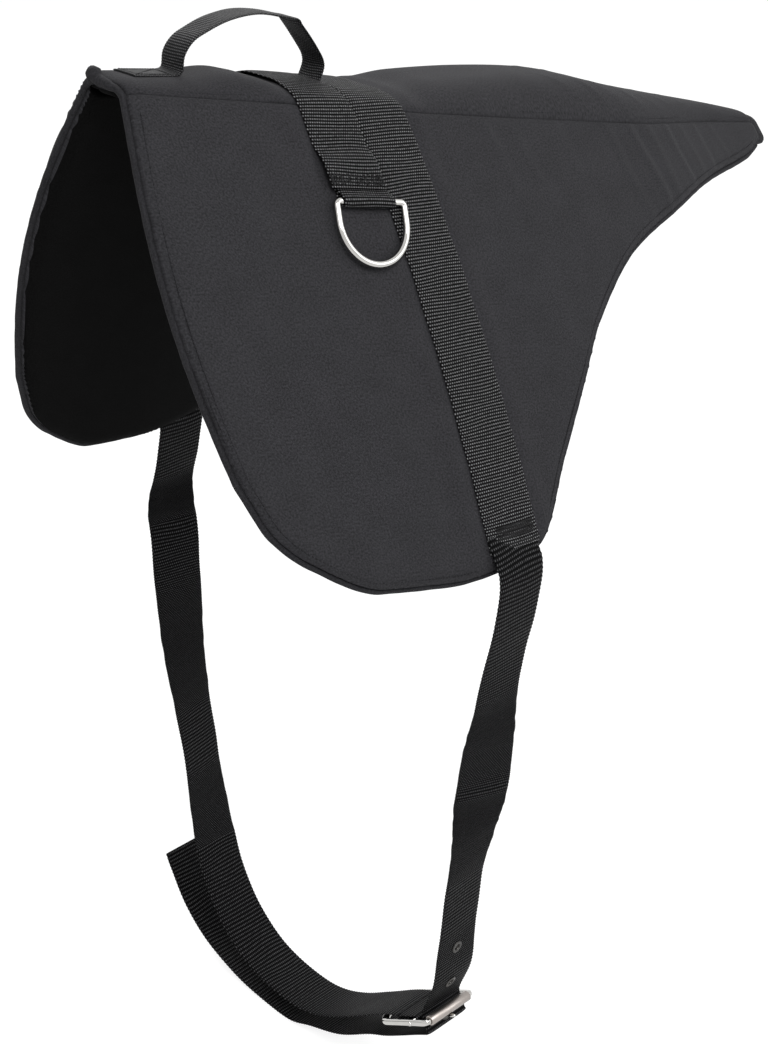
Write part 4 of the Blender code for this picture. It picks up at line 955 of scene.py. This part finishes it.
outline = bowed_outline(RING_INNER_WIDTH / 2 + RING_WIRE_RADIUS, RING_CORNER, RING_SIDE, RING_DEPTH,
                        13, 7, 4, 49)
turn = RING_WIRE_RADIUS + GAP + HALF_WEB
low = RING_LIFT - turn
upper = low + WEB_THICKNESS + GAP
shown, hidden = FRONT_WEB_END + GAP, FRONT_WEB_END - CHAPE_HIDDEN + HALF_WEB
reach = math.hypot(RING_AXIS - shown, RING_LIFT - upper)
leaving = math.pi + math.atan2(RING_LIFT - upper, RING_AXIS - shown) - math.acos(turn / reach)
angles = np.linspace(-math.pi / 2, leaving, 30)
bend = np.stack([RING_AXIS + turn * np.cos(angles), RING_LIFT + turn * np.sin(angles)], axis=-1)
route = np.concatenate([[(hidden, low), (shown, low)], bend, [(shown, upper), (hidden, upper)]])
for side, name in ((NEAR, "left"), (FAR, "right")):
    origin, along, down, outward = ring_frame(side)
    centres = origin + outline[:, :1] * along + outline[:, 1:] * down
    ring = lofted(f"{name}_ring", tube_rings(centres, np.broadcast_to(outward, centres.shape),
                                             RING_WIRE_RADIUS, 20, closed=True), [nickel], closed=True)
    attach(ring, f"{name}_ring")
    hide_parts(f"{name}_d_ring")

    path = flap_point(side, CHAPE_MIDDLE, route[:, 0]) + along * CHAPE_SHIFT
    path = path + flap_normal(side, np.full(len(route), CHAPE_MIDDLE), route[:, 0]) * route[:, 1:]
    chape = strip(f"{name}_chape", path, along, CHAPE_WIDTH + CHAPE_EXTRA_WIDTH, web_finish, RIB_PITCH,
                  CHAPE_RIB_HEIGHT)[0]
    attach(chape, "pad")
    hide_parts(f"{name}_ring_chape")


# Handle
# One 25 mm web of finer weave is sewn to the seat at both ends and stands as an arch over the gullet.
# It is one piece, and it bends where it leaves the seat when the handle leans over.

HANDLE_FRONT = -0.132
HANDLE_HEIGHT = 0.049
HANDLE_PIVOT = 0.012
HANDLE_FOOT = 0.042
HANDLE_LEAN = math.radians(-6)
HANDLE_RIB_PITCH = 0.0021
HANDLE_RIB_HEIGHT = 0.00008
SPINE_ANGLE = math.atan(SPINE_FALL)
SPINE_WAY = np.array([math.cos(SPINE_ANGLE), 0.0, -math.sin(SPINE_ANGLE)])
SPINE_UP = np.array([math.sin(SPINE_ANGLE), 0.0, math.cos(SPINE_ANGLE)])

# The light colour is the painted highlight of the handle's yarns; the dark one is the black web.
handle_finish = woven_finish("handle_web", rib_weave_painted_highlights, {"Rib pitch": HANDLE_RIB_PITCH, "Yarn pitch": 0.0019},
                             (0.0025, 0.0025, 0.0028), (0.14, 0.14, 0.145), 0.6, 0.0, 0.0004, gloss=0.1)


def curve_through(points, steps):
    """A Catmull-Rom curve through the points, with equal shares of each span."""
    points = np.asarray(points, float)
    longer = np.vstack([2 * points[0] - points[1], points, 2 * points[-1] - points[-2]])
    p0, p1, p2, p3 = [longer[first:len(longer) - 3 + first, None] for first in range(4)]
    u = (np.arange(steps) / steps)[None, :, None]
    spans = p1 + u / 2 * (p2 - p0 + u * (2 * p0 - 5 * p1 + 4 * p2 - p3 + u * (3 * (p1 - p2) + p3 - p0)))
    return np.concatenate([spans.reshape(-1, points.shape[1]), points[-1:]])


def leaned(points):
    """Points v turned by the lean t about the line of unit way w through the pivots:
    v cos t + (v cross w) sin t + (v . w) w (1 - cos t). Below the line the lean fades in evenly."""
    start = seat_point(HANDLE_FRONT, 0.0) + HANDLE_PIVOT * SPINE_UP
    arms = points - start
    along = arms @ SPINE_WAY
    lean = HANDLE_LEAN * np.clip((arms @ SPINE_UP + HANDLE_PIVOT) / HANDLE_PIVOT, 0, 1)[:, None]
    turned = arms * np.cos(lean) + np.cross(arms, SPINE_WAY) * np.sin(lean)
    return start + turned + np.multiply.outer(along, SPINE_WAY) * (1 - np.cos(lean))


def foot(x, places):
    """The middle line of a sewn foot: how far ahead of x, and how high over the seat, each place is."""
    return [seat_point(x - ahead, 0.0) + SPINE_UP * (GAP + rise) for ahead, rise in places]


handle_rear = WEB_THICKNESS + GAP + SPINE_FALL * (crown(HANDLE_FRONT) - crown(0.0))
length = handle_rear - HANDLE_FRONT
pivot = seat_point(HANDLE_FRONT, 0.0)
arch = [pivot + SPINE_UP * HANDLE_HEIGHT * rise + SPINE_WAY * length * place / math.cos(SPINE_ANGLE)
        for place, rise in ((0.0, 0.30), (0.035, 0.50), (0.10, 0.645), (0.252, 0.87), (0.460, 1.0),
                            (0.700, 0.97), (0.742, 0.955), (0.765, 0.895), (0.845, 0.72), (0.925, 0.53),
                            (0.98, 0.38), (1.0, 0.24))]
rear_foot = foot(handle_rear, ((0.0025, 0.0022), (0.008, 0.0), (0.014, 0.0), (0.021, 0.0), (0.031, 0.0),
                               (HANDLE_FOOT, 0.0)))
front_foot = foot(HANDLE_FRONT, ((HANDLE_FOOT, 0.0), (0.034, 0.0), (0.026, 0.0), (0.019, 0.0), (0.012, 0.0),
                                 (0.006, 0.0004), (0.0, 0.003)))
path = leaned(curve_through(front_foot + arch + rear_foot, 14))
handle = strip("handle", path, np.array([0.0, 1.0, 0.0]), HANDLE_WIDTH, handle_finish, HANDLE_RIB_PITCH,
               HANDLE_RIB_HEIGHT, 3)[0]
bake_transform(handle)
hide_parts("handle_front_foot", "handle_rear_foot", "handle_grip")


# Girth straps
# Each strap is sewn under the rear web and hangs down over the hem. The far one folds round the
# buckle's bar. The near one, the billet, comes out between bar and roller, over the tongue, and runs
# back under the far strap.

STRAP_WIDTH = 0.050
STRAP_TWIST = math.radians(22)
GIRTH_SPAN = 0.210
GIRTH_DROP = 0.580
STRAP_MIDDLE = WEB_WIDTH / 2
STRAP_RIB_PITCH = 0.0025
STRAP_RIB_HEIGHT = 0.00011
ROOT_START = GIRTH_WEB_END - 0.012
PIVOT_DROP = 0.012
BUCKLE_SPAN_SHARE = -0.598
BUCKLE_DROP_SHARE = 0.849
BUCKLE_TILT = math.radians(31)
BAR_RADIUS = 0.002
ROLLER_REACH = 0.021
ROLLER_RADIUS = 0.0048
BOW_REACH = 0.055
BOW_WIDTH = 0.009
FRAME_THICKNESS = 0.005
TONGUE_RADIUS = 0.002
STRAP_CROSSING = 0.0105
EYELET_BORE = 0.0032
EYELET_WALL = 0.0006
EYELET_FLANGE = 0.0022
EYELET_SPACING = 0.046
SLOT_REACH = 0.0075
SLOT_BACK = 0.0035
SLOT_CLEARANCE = 0.0008

rim_places = np.linspace(0.0, STRAP_WIDTH, 5)
rim = flap_point(FAR, rim_places, flap_edge(rim_places) + 2 * ROLL_RADIUS + GAP)
hang_span, hang_level = rim[:, 1].max() + GAP, rim[:, 2].min()
pivot_level = hang_level - PIVOT_DROP


def buckle_point(reach, outward):
    """A place in the girth's plane: the bar plus reach towards the roller plus the way out of the buckle."""
    reach, outward = np.broadcast_arrays(np.asarray(reach, float), np.asarray(outward, float))
    cosine, tilt = math.cos(BUCKLE_TILT), math.sin(BUCKLE_TILT)
    y = GIRTH_SPAN * BUCKLE_SPAN_SHARE - cosine * reach - tilt * outward
    z = pivot_level - GIRTH_DROP * BUCKLE_DROP_SHARE + tilt * reach - cosine * outward
    return np.stack([y, z], axis=-1)


def in_buckle(points):
    """The reach and the way out, in the buckle, of places in the girth's plane."""
    bar = buckle_point(0.0, 0.0)
    return (points - bar) @ (buckle_point(1.0, 0.0) - bar), (points - bar) @ (buckle_point(0.0, 1.0) - bar)


def tongue_level(reach):
    """The tongue's middle rises evenly from the bar's side to the roller's."""
    start, end = BAR_RADIUS + GAP + TONGUE_RADIUS, ROLLER_RADIUS + GAP + TONGUE_RADIUS
    return start + (end - start) * reach / ROLLER_REACH


def hanging(side, shares):
    """Places of a strap's route: shares of the half span and of the drop."""
    return [(side * GIRTH_SPAN * out_share, pivot_level - GIRTH_DROP * fall) for out_share, fall in shares]


def strap_head(side):
    """The sewn end on the flap, over the hem, and down to where the strap hangs free."""
    depths = np.linspace(ROOT_START, flap_edge(STRAP_MIDDLE) - ROLL_RADIUS, 5)
    places = np.full(5, STRAP_MIDDLE)
    lifts = np.interp(depths, [ROOT_START, GIRTH_WEB_END + 0.006], [-0.0008, HALF_WEB + GAP])
    on_flap = flap_point(FAR, places, depths) + flap_normal(FAR, places, depths) * lifts[:, None]
    head = [(side * point[1], point[2]) for point in on_flap]
    outer = hang_span + HALF_WEB
    return head + [(side * outer, hang_level + 0.002), (side * (outer + 0.0006), pivot_level - 0.004)]


def strap_twist(route, shares):
    """The way of the width at each place: (cos t, -sin t, 0), where t follows the drop's share."""
    places = np.array((0.0, 0.10, 0.20, 0.30, 0.38, 0.47, 0.56, 0.65, 0.74, 0.81))
    fall = np.clip((pivot_level - route[:, 1]) / GIRTH_DROP, 0.0, 0.81)
    turn = STRAP_TWIST * smooth_curve((places * GIRTH_DROP) / SPINE_LENGTH, shares, FRONT + fall * GIRTH_DROP)
    return np.stack([np.cos(turn), -np.sin(turn), np.zeros_like(turn)], axis=-1)


def in_plane(route):
    """Points of the strap's middle line from places in the girth's plane."""
    return np.stack([np.full(len(route), STRAP_MIDDLE), route[:, 0], route[:, 1]], axis=-1)


# The light colour is the painted highlight of the straps' yarns; the dark one is the black strap.
strap_finish = woven_finish("ribbed_strap", rib_weave_painted_highlights,
                            {"Rib pitch": STRAP_RIB_PITCH, "Yarn pitch": YARN_PITCH},
                            (0.0006, 0.0006, 0.0007), (0.082, 0.082, 0.085), 0.5, 0.0, 0.0005, gloss=0.03)

crossing, flat = STRAP_CROSSING, EYELET_BORE + EYELET_WALL + EYELET_FLANGE + GAP
tongue_out, lead, fold = tongue_level(STRAP_CROSSING), flat + HALF_WEB, 2 * WEB_THICKNESS
through = [(crossing + fold * back, tongue_out + lead * inward)
           for back, inward in ((1.5, -2.3), (0.333, -1.4), (0.0, -1.0))]
through += [(crossing, tongue_out - flat), (crossing, tongue_out), (crossing, tongue_out + flat),
            (crossing, tongue_out + lead), (crossing - fold / 2, tongue_out + lead + fold * 0.333),
            (-crossing, tongue_out + lead + fold / 2), (-BOW_REACH, tongue_out + 3 * fold)]
billet_route = strap_head(NEAR) + hanging(NEAR, (
    (0.99, 0.065), (0.943, 0.137), (0.905, 0.215), (0.871, 0.300), (0.843, 0.382), (0.805, 0.474),
    (0.757, 0.567), (0.729, 0.660), (0.700, 0.755)))
billet_route += [tuple(buckle_point(reach, outward)) for reach, outward in through]
billet_route += hanging(FAR, (
    (-0.298, 0.949), (-0.098, 0.996), (0.112, 1.027), (0.272, 1.048), (0.492, 1.046), (0.687, 1.032),
    (0.878, 1.005), (1.032, 0.954), (1.135, 0.894), (1.167, 0.869)))
billet_route = curve_through(billet_route, 12)
near_twist = (0.0, 0.0, 0.09, 0.77, 1.0, 0.27, -0.12, -0.12, 0.0, 0.0)
billet_travel = length_along(billet_route)
from_tongue = np.linalg.norm(billet_route - buckle_point(crossing, tongue_out), axis=-1)
tongue_place = billet_travel[from_tongue.argmin()]


def on_billet(lengths):
    """Places in the girth's plane at lengths along the billet."""
    return np.stack([np.interp(lengths, billet_travel, billet_route[:, axis]) for axis in (0, 1)], axis=-1)


eyelet_places = tongue_place - np.arange(3) * EYELET_SPACING
eyelet_centres = on_billet(eyelet_places)


def eyelet_cells(grid):
    """The cells whose middle lies within an eyelet's barrel."""
    middle = (grid[:-1, :-1] + grid[1:, 1:]) / 2
    centres = in_plane(eyelet_centres)
    return (np.linalg.norm(middle[..., None, :] - centres, axis=-1) < EYELET_BORE + EYELET_WALL).any(axis=-1)


billet = strip("near_girth_strap", in_plane(billet_route), strap_twist(billet_route, near_twist), STRAP_WIDTH,
               strap_finish, STRAP_RIB_PITCH, STRAP_RIB_HEIGHT, open_cells=eyelet_cells)[0]
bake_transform(billet)
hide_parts("left_girth_root", "girth_billet")

turn, doubled = BAR_RADIUS + GAP + HALF_WEB, WEB_THICKNESS + GAP
half_turn = np.radians(np.linspace(0, 180, 25))
lead_in = strap_head(FAR) + hanging(FAR, (
    (1.055, 0.065), (1.12, 0.145), (1.11, 0.23), (1.10, 0.34), (1.085, 0.44), (1.05, 0.525), (1.01, 0.605),
    (0.975, 0.695), (0.935, 0.78), (0.865, 0.868), (0.73, 0.945), (0.53, 0.993), (0.32, 1.008), (0.13, 1.0),
    (-0.06, 0.968)))
lead_in += [tuple(buckle_point(-BOW_REACH + BOW_WIDTH / 2, -FRAME_THICKNESS / 2 - 3 * GAP - HALF_WEB)),
            tuple(buckle_point(-BOW_REACH / 2, -turn - HALF_WEB / 2)), tuple(buckle_point(-turn * 2, -turn))]
folded = buckle_point(turn * np.sin(half_turn), -turn * np.cos(half_turn))
back = buckle_point(np.array([-turn * 2, -turn * 4, -BOW_REACH / 2]),
                    np.array([doubled / 2 + GAP, doubled - turn, doubled - turn]))
strap_route = np.concatenate([curve_through(lead_in, 12), folded, back])
far_twist = (0.0, 0.0, 0.59, 0.50, 0.27, -0.14, -0.45, -0.50, -0.23, 0.0)


def slot_cells(grid):
    """The cells of the fold that the tongue passes through."""
    middle = (grid[:-1, :-1] + grid[1:, 1:]) / 2
    reach, outward = in_buckle(middle[..., 1:])
    at_tongue = np.abs(middle[..., 0] - STRAP_MIDDLE) < TONGUE_RADIUS + SLOT_CLEARANCE
    return at_tongue & (np.hypot(reach, outward) < SLOT_REACH) & (reach > -SLOT_BACK)


far_strap, far_grid, far_normal = strip(
    "far_girth_strap", in_plane(strap_route), strap_twist(strap_route, far_twist), STRAP_WIDTH,
    strap_finish, STRAP_RIB_PITCH, STRAP_RIB_HEIGHT, open_cells=slot_cells)
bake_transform(far_strap)
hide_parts("right_girth_root", "girth_strap")


# Roller buckle and eyelets
# A cast frame with a half-oval bow, a centre bar with riveted ends, a satin roller and a wire
# tongue curled round the bar. Turned eyelets line the billet's holes.

FRAME_WIDTH = 0.060
FRAME_CORNER = 0.0045
ARM_WIDTH = 0.006
BOW_ROUND = 0.020
ROLLER_LENGTH = 0.0505
ROLLER_WALL = 0.0018
ROLLER_BEVEL = 0.0005
BAR_END_SHOWN = 0.001
TONGUE_OVERHANG = 0.005
EYELET_LIP = 0.0006
EYELET_ROUND = 0.0003

satin = plated_finish("satin_roller", (0.40, 0.365, 0.34), 0.30, 0.22, (0.4, 6.0, 6.0))

outline = bowed_outline(FRAME_WIDTH / 2, FRAME_CORNER, ROLLER_REACH + BOW_REACH - BOW_ROUND,
                        ROLLER_REACH + BOW_REACH, 15, 9, 12, 45)
route = np.stack([outline[:, 0], ROLLER_REACH - outline[:, 1]], axis=-1)
spread = np.clip(-route[:, 1] / BOW_REACH, 0, 1)
at_roller = np.clip((route[:, 1] - (ROLLER_REACH - FRAME_CORNER)) / (FRAME_CORNER / 2), 0, 1)
bar = ROLLER_RADIUS - ROLLER_WALL - GAP
wide = (ARM_WIDTH / 2 + (BOW_WIDTH - ARM_WIDTH) / 2 * spread) * (1 - at_roller) + bar * at_roller
thick = FRAME_THICKNESS / 2 * (1 - at_roller) + bar * at_roller
tangents = unit(np.roll(route, -1, axis=0) - np.roll(route, 1, axis=0))
angles = even_turns(24)
# The frame's section is a squarish oval: half its width times cos a to the power 0.8, and half its
# thickness times sin a to the power 0.8.
outside = wide[:, None] * np.sign(np.cos(angles)) * np.abs(np.cos(angles)) ** 0.8
rise = thick[:, None] * np.sign(np.sin(angles)) * np.abs(np.sin(angles)) ** 0.8
flat_points = buckle_point(route[:, 1, None] - tangents[:, 0, None] * outside, rise)
rings = np.concatenate([(STRAP_MIDDLE + route[:, 0, None] + tangents[:, 1, None] * outside)[..., None],
                        flat_points], axis=-1)
buckle = lofted("buckle_cast_frame", rings, [nickel], closed=True)


def turned_ring(name, profile, centre, axis, finish, sides):
    """A closed profile of radius and height carried once round an axis."""
    helper = np.array([1.0, 0.0, 0.0]) if abs(axis[0]) < 0.5 else np.array([0.0, 0.0, 1.0])
    first = unit(np.cross(axis, helper))
    second = np.cross(axis, first)
    angles = even_turns(sides)
    radial = np.cos(angles)[:, None] * first + np.sin(angles)[:, None] * second
    profile = np.asarray(profile)
    rings = centre + profile[None, :, :1] * radial[:, None] + profile[None, :, 1:] * axis
    return lofted(name, rings, [finish], closed=True)


def mirrored(lower):
    """A closed profile from its lower half."""
    return lower + [(radius, -height) for radius, height in lower[::-1]]


across_axis = np.array([1.0, 0.0, 0.0])
end = FRAME_WIDTH / 2 + ARM_WIDTH / 2 + BAR_END_SHOWN
stations = np.array([(-end, 0.0013), (-end + 0.0002, 0.0018), (-end + 0.0012, 0.0021), (0.0, BAR_RADIUS),
                     (end - 0.0012, 0.0021), (end - 0.0002, 0.0018), (end, 0.0013)])
centre = np.array([STRAP_MIDDLE, *buckle_point(0.0, 0.0)])
angles = even_turns(20)
rings = centre + stations[:, None, :1] * across_axis + stations[:, None, 1:] * np.stack(
    [np.zeros(20), np.cos(angles), np.sin(angles)], axis=-1)
centre_bar = lofted("buckle_centre_bar", rings, [nickel])
for piece in (buckle, centre_bar):
    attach(piece, "girth")
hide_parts("buckle_frame")

inner, half = ROLLER_RADIUS - ROLLER_WALL, ROLLER_LENGTH / 2
profile = mirrored([(inner, -half + ROLLER_BEVEL), (inner + ROLLER_BEVEL, -half),
                    (ROLLER_RADIUS - ROLLER_BEVEL, -half), (ROLLER_RADIUS, -half + ROLLER_BEVEL)])
roller = turned_ring("roller_tube", profile, np.array([STRAP_MIDDLE, *buckle_point(ROLLER_REACH, 0.0)]),
                     across_axis, satin, 48)
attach(roller, "roller")
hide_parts("buckle_roller")

curl = BAR_RADIUS + GAP + TONGUE_RADIUS
slope = math.atan2(tongue_level(ROLLER_REACH) - tongue_level(0.0), ROLLER_REACH)
arc = np.linspace(math.radians(-20), slope - 1.5 * math.pi, 46)
run = np.linspace(0.08, 1.0, 12) * (ROLLER_REACH + TONGUE_OVERHANG)
reach = np.concatenate([curl * np.cos(arc), run])
outward = np.concatenate([curl * np.sin(arc), tongue_level(run)])
path = in_plane(buckle_point(reach, outward))
tip = np.concatenate([np.ones(len(path) - 3), [0.96, 0.82, 0.55]])
rings = tube_rings(path, np.broadcast_to(across_axis, path.shape), TONGUE_RADIUS * tip, 16)
tongue = lofted("tongue_wire", rings, [nickel])
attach(tongue, "tongue")
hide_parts("buckle_tongue")

barrel, low = EYELET_BORE + EYELET_WALL, HALF_WEB + GAP
high, rim_radius = low + EYELET_LIP, barrel + EYELET_FLANGE
profile = mirrored([(EYELET_BORE, -high + EYELET_ROUND), (EYELET_BORE + 2 * EYELET_ROUND, -high),
                    (rim_radius - 2 * EYELET_ROUND, -high), (rim_radius, -high + EYELET_ROUND),
                    (rim_radius, -low), (barrel, -low)])
blackened = plated_finish("blackened_eyelet", (0.06, 0.058, 0.055), 0.20, 0.2, (1.0, 1.0, 1.0))
for number, place in enumerate(eyelet_centres, start=1):
    where = eyelet_places[number - 1]
    ends = on_billet([where - WEB_THICKNESS, where + WEB_THICKNESS])
    along = unit(ends[1] - ends[0])
    across = strap_twist(place[None, :], near_twist)[0]
    axis = unit(np.cross(across, np.array([0.0, *along])))
    centre = np.array([STRAP_MIDDLE, *place])
    eyelet = turned_ring(f"eyelet_ring_{number}", profile, centre, axis, blackened, 40)
    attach(eyelet, "girth")
    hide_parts(f"eyelet_{number}")


# Sewing
# Lock stitches in black bonded thread run along both seat seams, inside the hems, in zigzag rows on
# the front web's hemmed ends, in a dense tack on the rear web's ends, on the handle's front foot, and
# across the strap behind the buckle.

STITCH_WIDTH = 0.0010
SEAM_INSET = 0.0026
SEAM_SINK = 0.0009
SEAM_PITCH = 0.0042
HEM_INSET = 0.0052
HEM_PITCH = 0.0036
ZIGZAG_PITCH = 0.0020
ZIGZAG_COUNT = 25
TACK_PITCH = 0.0018
ROW_PITCH = 0.0026
FOOT_PITCH = 0.0024
FOOT_INSET = 0.0100
STITCH_STATIONS = np.array([-0.5, -0.28, 0.28, 0.5])
STITCH_RADII = STITCH_WIDTH / 2 * np.array([0.45, 1.0, 1.0, 0.45])


def stitched(name, rows, finish):
    """Stitches along rows of (points, normals, pitch): four rings each, thickest in the middle, whose
    ends dip into the cloth by the square of the distance from the stitch's middle."""
    rings = []
    angles = even_turns(6)
    for points, normals, pitch in rows:
        both = along_path(np.concatenate([points, normals], axis=1), pitch)
        centres, up = both[:, :3], unit(both[:, 3:])
        along = unit(np.gradient(centres, axis=0))
        across = unit(np.cross(along, up))
        up = np.cross(across, along)
        middle = (centres[:, None] + along[:, None] * (STITCH_STATIONS * pitch * 0.8)[None, :, None]
                  + up[:, None] * (STITCH_WIDTH * (0.35 - 1.6 * STITCH_STATIONS ** 2))[None, :, None])
        rings.append(middle[:, :, None]
                     + across[:, None, None] * (STITCH_RADII[:, None] * np.cos(angles))[None, ..., None]
                     + up[:, None, None] * (STITCH_RADII[:, None] * np.sin(angles))[None, ..., None])
    rings = np.concatenate(rings)
    number = np.arange(24).reshape(4, 6)
    this, following = number[:-1], number[1:]
    sides = np.stack([this, np.roll(this, -1, axis=1), np.roll(following, -1, axis=1), following], axis=-1)
    caps = [(0, 1, 2, 3), (0, 3, 4, 5), (18, 19, 20, 21), (18, 21, 22, 23)]
    one = np.concatenate([sides.reshape(-1, 4), caps])
    quads = (one[None] + 24 * np.arange(len(rings))[:, None, None]).reshape(-1, 4)
    points = rings.reshape(-1, 3)
    piece = mesh_piece(name, points, [quads], points[:, :2], [finish])
    return piece


def both_ends(web):
    """A web's middle grid and normals counted from either end, with the step along it."""
    centre, normal, travel = web
    return [(centre[::order], normal[::order], travel[1] - travel[0]) for order in (1, -1)]


def sewn(grid, ups, index, rise, pitch):
    """A row of stitches over the picked places of a web's grid."""
    return grid[index] + ups[index] * rise, ups[index], pitch


thread = woven_finish("black_thread", cloth_weave, {"Thread pitch": 0.0005}, (0.002, 0.002, 0.002),
                      (0.012, 0.012, 0.013), 0.5, 0.0, 0.00008, gloss=0.15, coordinates="Object")

places = np.linspace(FRONT + 0.008, TAIL - 0.008, 400)
rim = along_path(flap_rim(140), 0.003)
rim = rim[(rim[:, 1] > 0.012) & (rim[:, 0] < TAIL - 0.02)]
way = unit(np.gradient(rim, axis=0))
inward = np.stack([way[:, 1], -way[:, 0]], axis=-1)
inward = inward * np.sign(np.sum(inward * (np.array([0.05, 0.10]) - rim), axis=-1))[:, None]
inside = rim + inward * HEM_INSET
full = pinched(np.full(len(inside), HEM_INSET), RIM_ROUNDING)
thickness = RIM_THICKNESS + (PAD_THICKNESS - RIM_THICKNESS) * full
under_web = (inside[:, 0] > -0.003) & (inside[:, 0] < WEB_WIDTH + 0.003) & (inside[:, 1] > 0.2)
cuts = np.flatnonzero(under_web)
rows = []
for side in (NEAR, FAR):
    for stretch in (places[places < -WEB_WIDTH - 0.001], places[places > WEB_WIDTH + 0.001]):
        across = side * (1 - SEAM_INSET / seam_half(stretch))
        up = mitred(seat_normal(stretch, across), side, stretch, np.full_like(stretch, SEAM_INSET))
        rows.append((seat_point(stretch, across) - up * SEAM_SINK, up, SEAM_PITCH))
    up = flap_normal(side, inside[:, 0], inside[:, 1])
    surface = flap_point(side, inside[:, 0], inside[:, 1]) - up * ((PAD_THICKNESS - thickness) / 2)[:, None]
    for part in (slice(0, cuts[0]), slice(cuts[-1] + 1, None)):
        rows.append((surface[part], up[part], HEM_PITCH))
pad_stitches = stitched("pad_stitches", rows, hem_cloth)
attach(pad_stitches, "pad")

rows = []
turns = np.arange(ZIGZAG_COUNT) % 2
columns = np.linspace(2, WEB_LINES - 3, ZIGZAG_COUNT).astype(int)
for grid, ups, step in both_ends(front_web):
    for first, last in ((0.0018, 0.0052), (0.0046, 0.0080), (0.0074, 0.0108)):
        row = np.round(np.where(turns == 0, first, last) / step).astype(int)
        rows.append(sewn(grid, ups, (row, columns), HALF_WEB, ZIGZAG_PITCH))
for grid, ups, step in both_ends(girth_web):
    for reach in np.arange(0.010, 0.0205, 0.0010):
        rows.append(sewn(grid, ups, (int(reach / step), slice(6, 17)), HALF_WEB + 0.0001, TACK_PITCH))
    for reach in (0.0025, 0.0050):
        rows.append(sewn(grid, ups, (int(reach / step), slice(1, -1)), HALF_WEB, ROW_PITCH))
web_stitches = stitched("web_stitches", rows, thread)
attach(web_stitches, "pad")

rows = []
ahead, behind = HANDLE_FRONT - HANDLE_FOOT + 0.003, HANDLE_FRONT - 0.009
corners = [(ahead, -FOOT_INSET), (behind, -FOOT_INSET), (behind, FOOT_INSET), (ahead, FOOT_INSET),
           (ahead, -FOOT_INSET), (behind, FOOT_INSET)]
for start, stop in zip(corners[:-1], corners[1:]):
    line = np.linspace(start, stop, 12)
    base = seat_point(line[:, 0], 0.0) + SPINE_UP * (GAP + HALF_WEB)
    base[:, 1] = line[:, 1]
    rows.append((base, np.broadcast_to(SPINE_UP, (12, 3)), FOOT_PITCH))
foot_stitches = stitched("handle_foot_stitches", rows, thread)
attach(foot_stitches, "pad")

reach, outward = in_buckle(far_grid[:, WEB_LINES // 2, 1:])
last_part = np.arange(len(reach)) > 0.7 * len(reach)
upper_run = np.flatnonzero((reach > -0.052) & (reach < -0.014) & (outward < 0.0) & last_part)
rows = []
for place in (-0.024, -0.0265):
    where = upper_run[np.abs(reach[upper_run] - place).argmin()]
    up = np.broadcast_to(far_normal[where] * np.sign(far_normal[where, 2]), (WEB_LINES - 2, 3))
    rows.append((far_grid[where, 1:-1] + up * HALF_WEB, up, ROW_PITCH))
fold_stitches = stitched("strap_fold_stitches", rows, thread)
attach(fold_stitches, "girth")
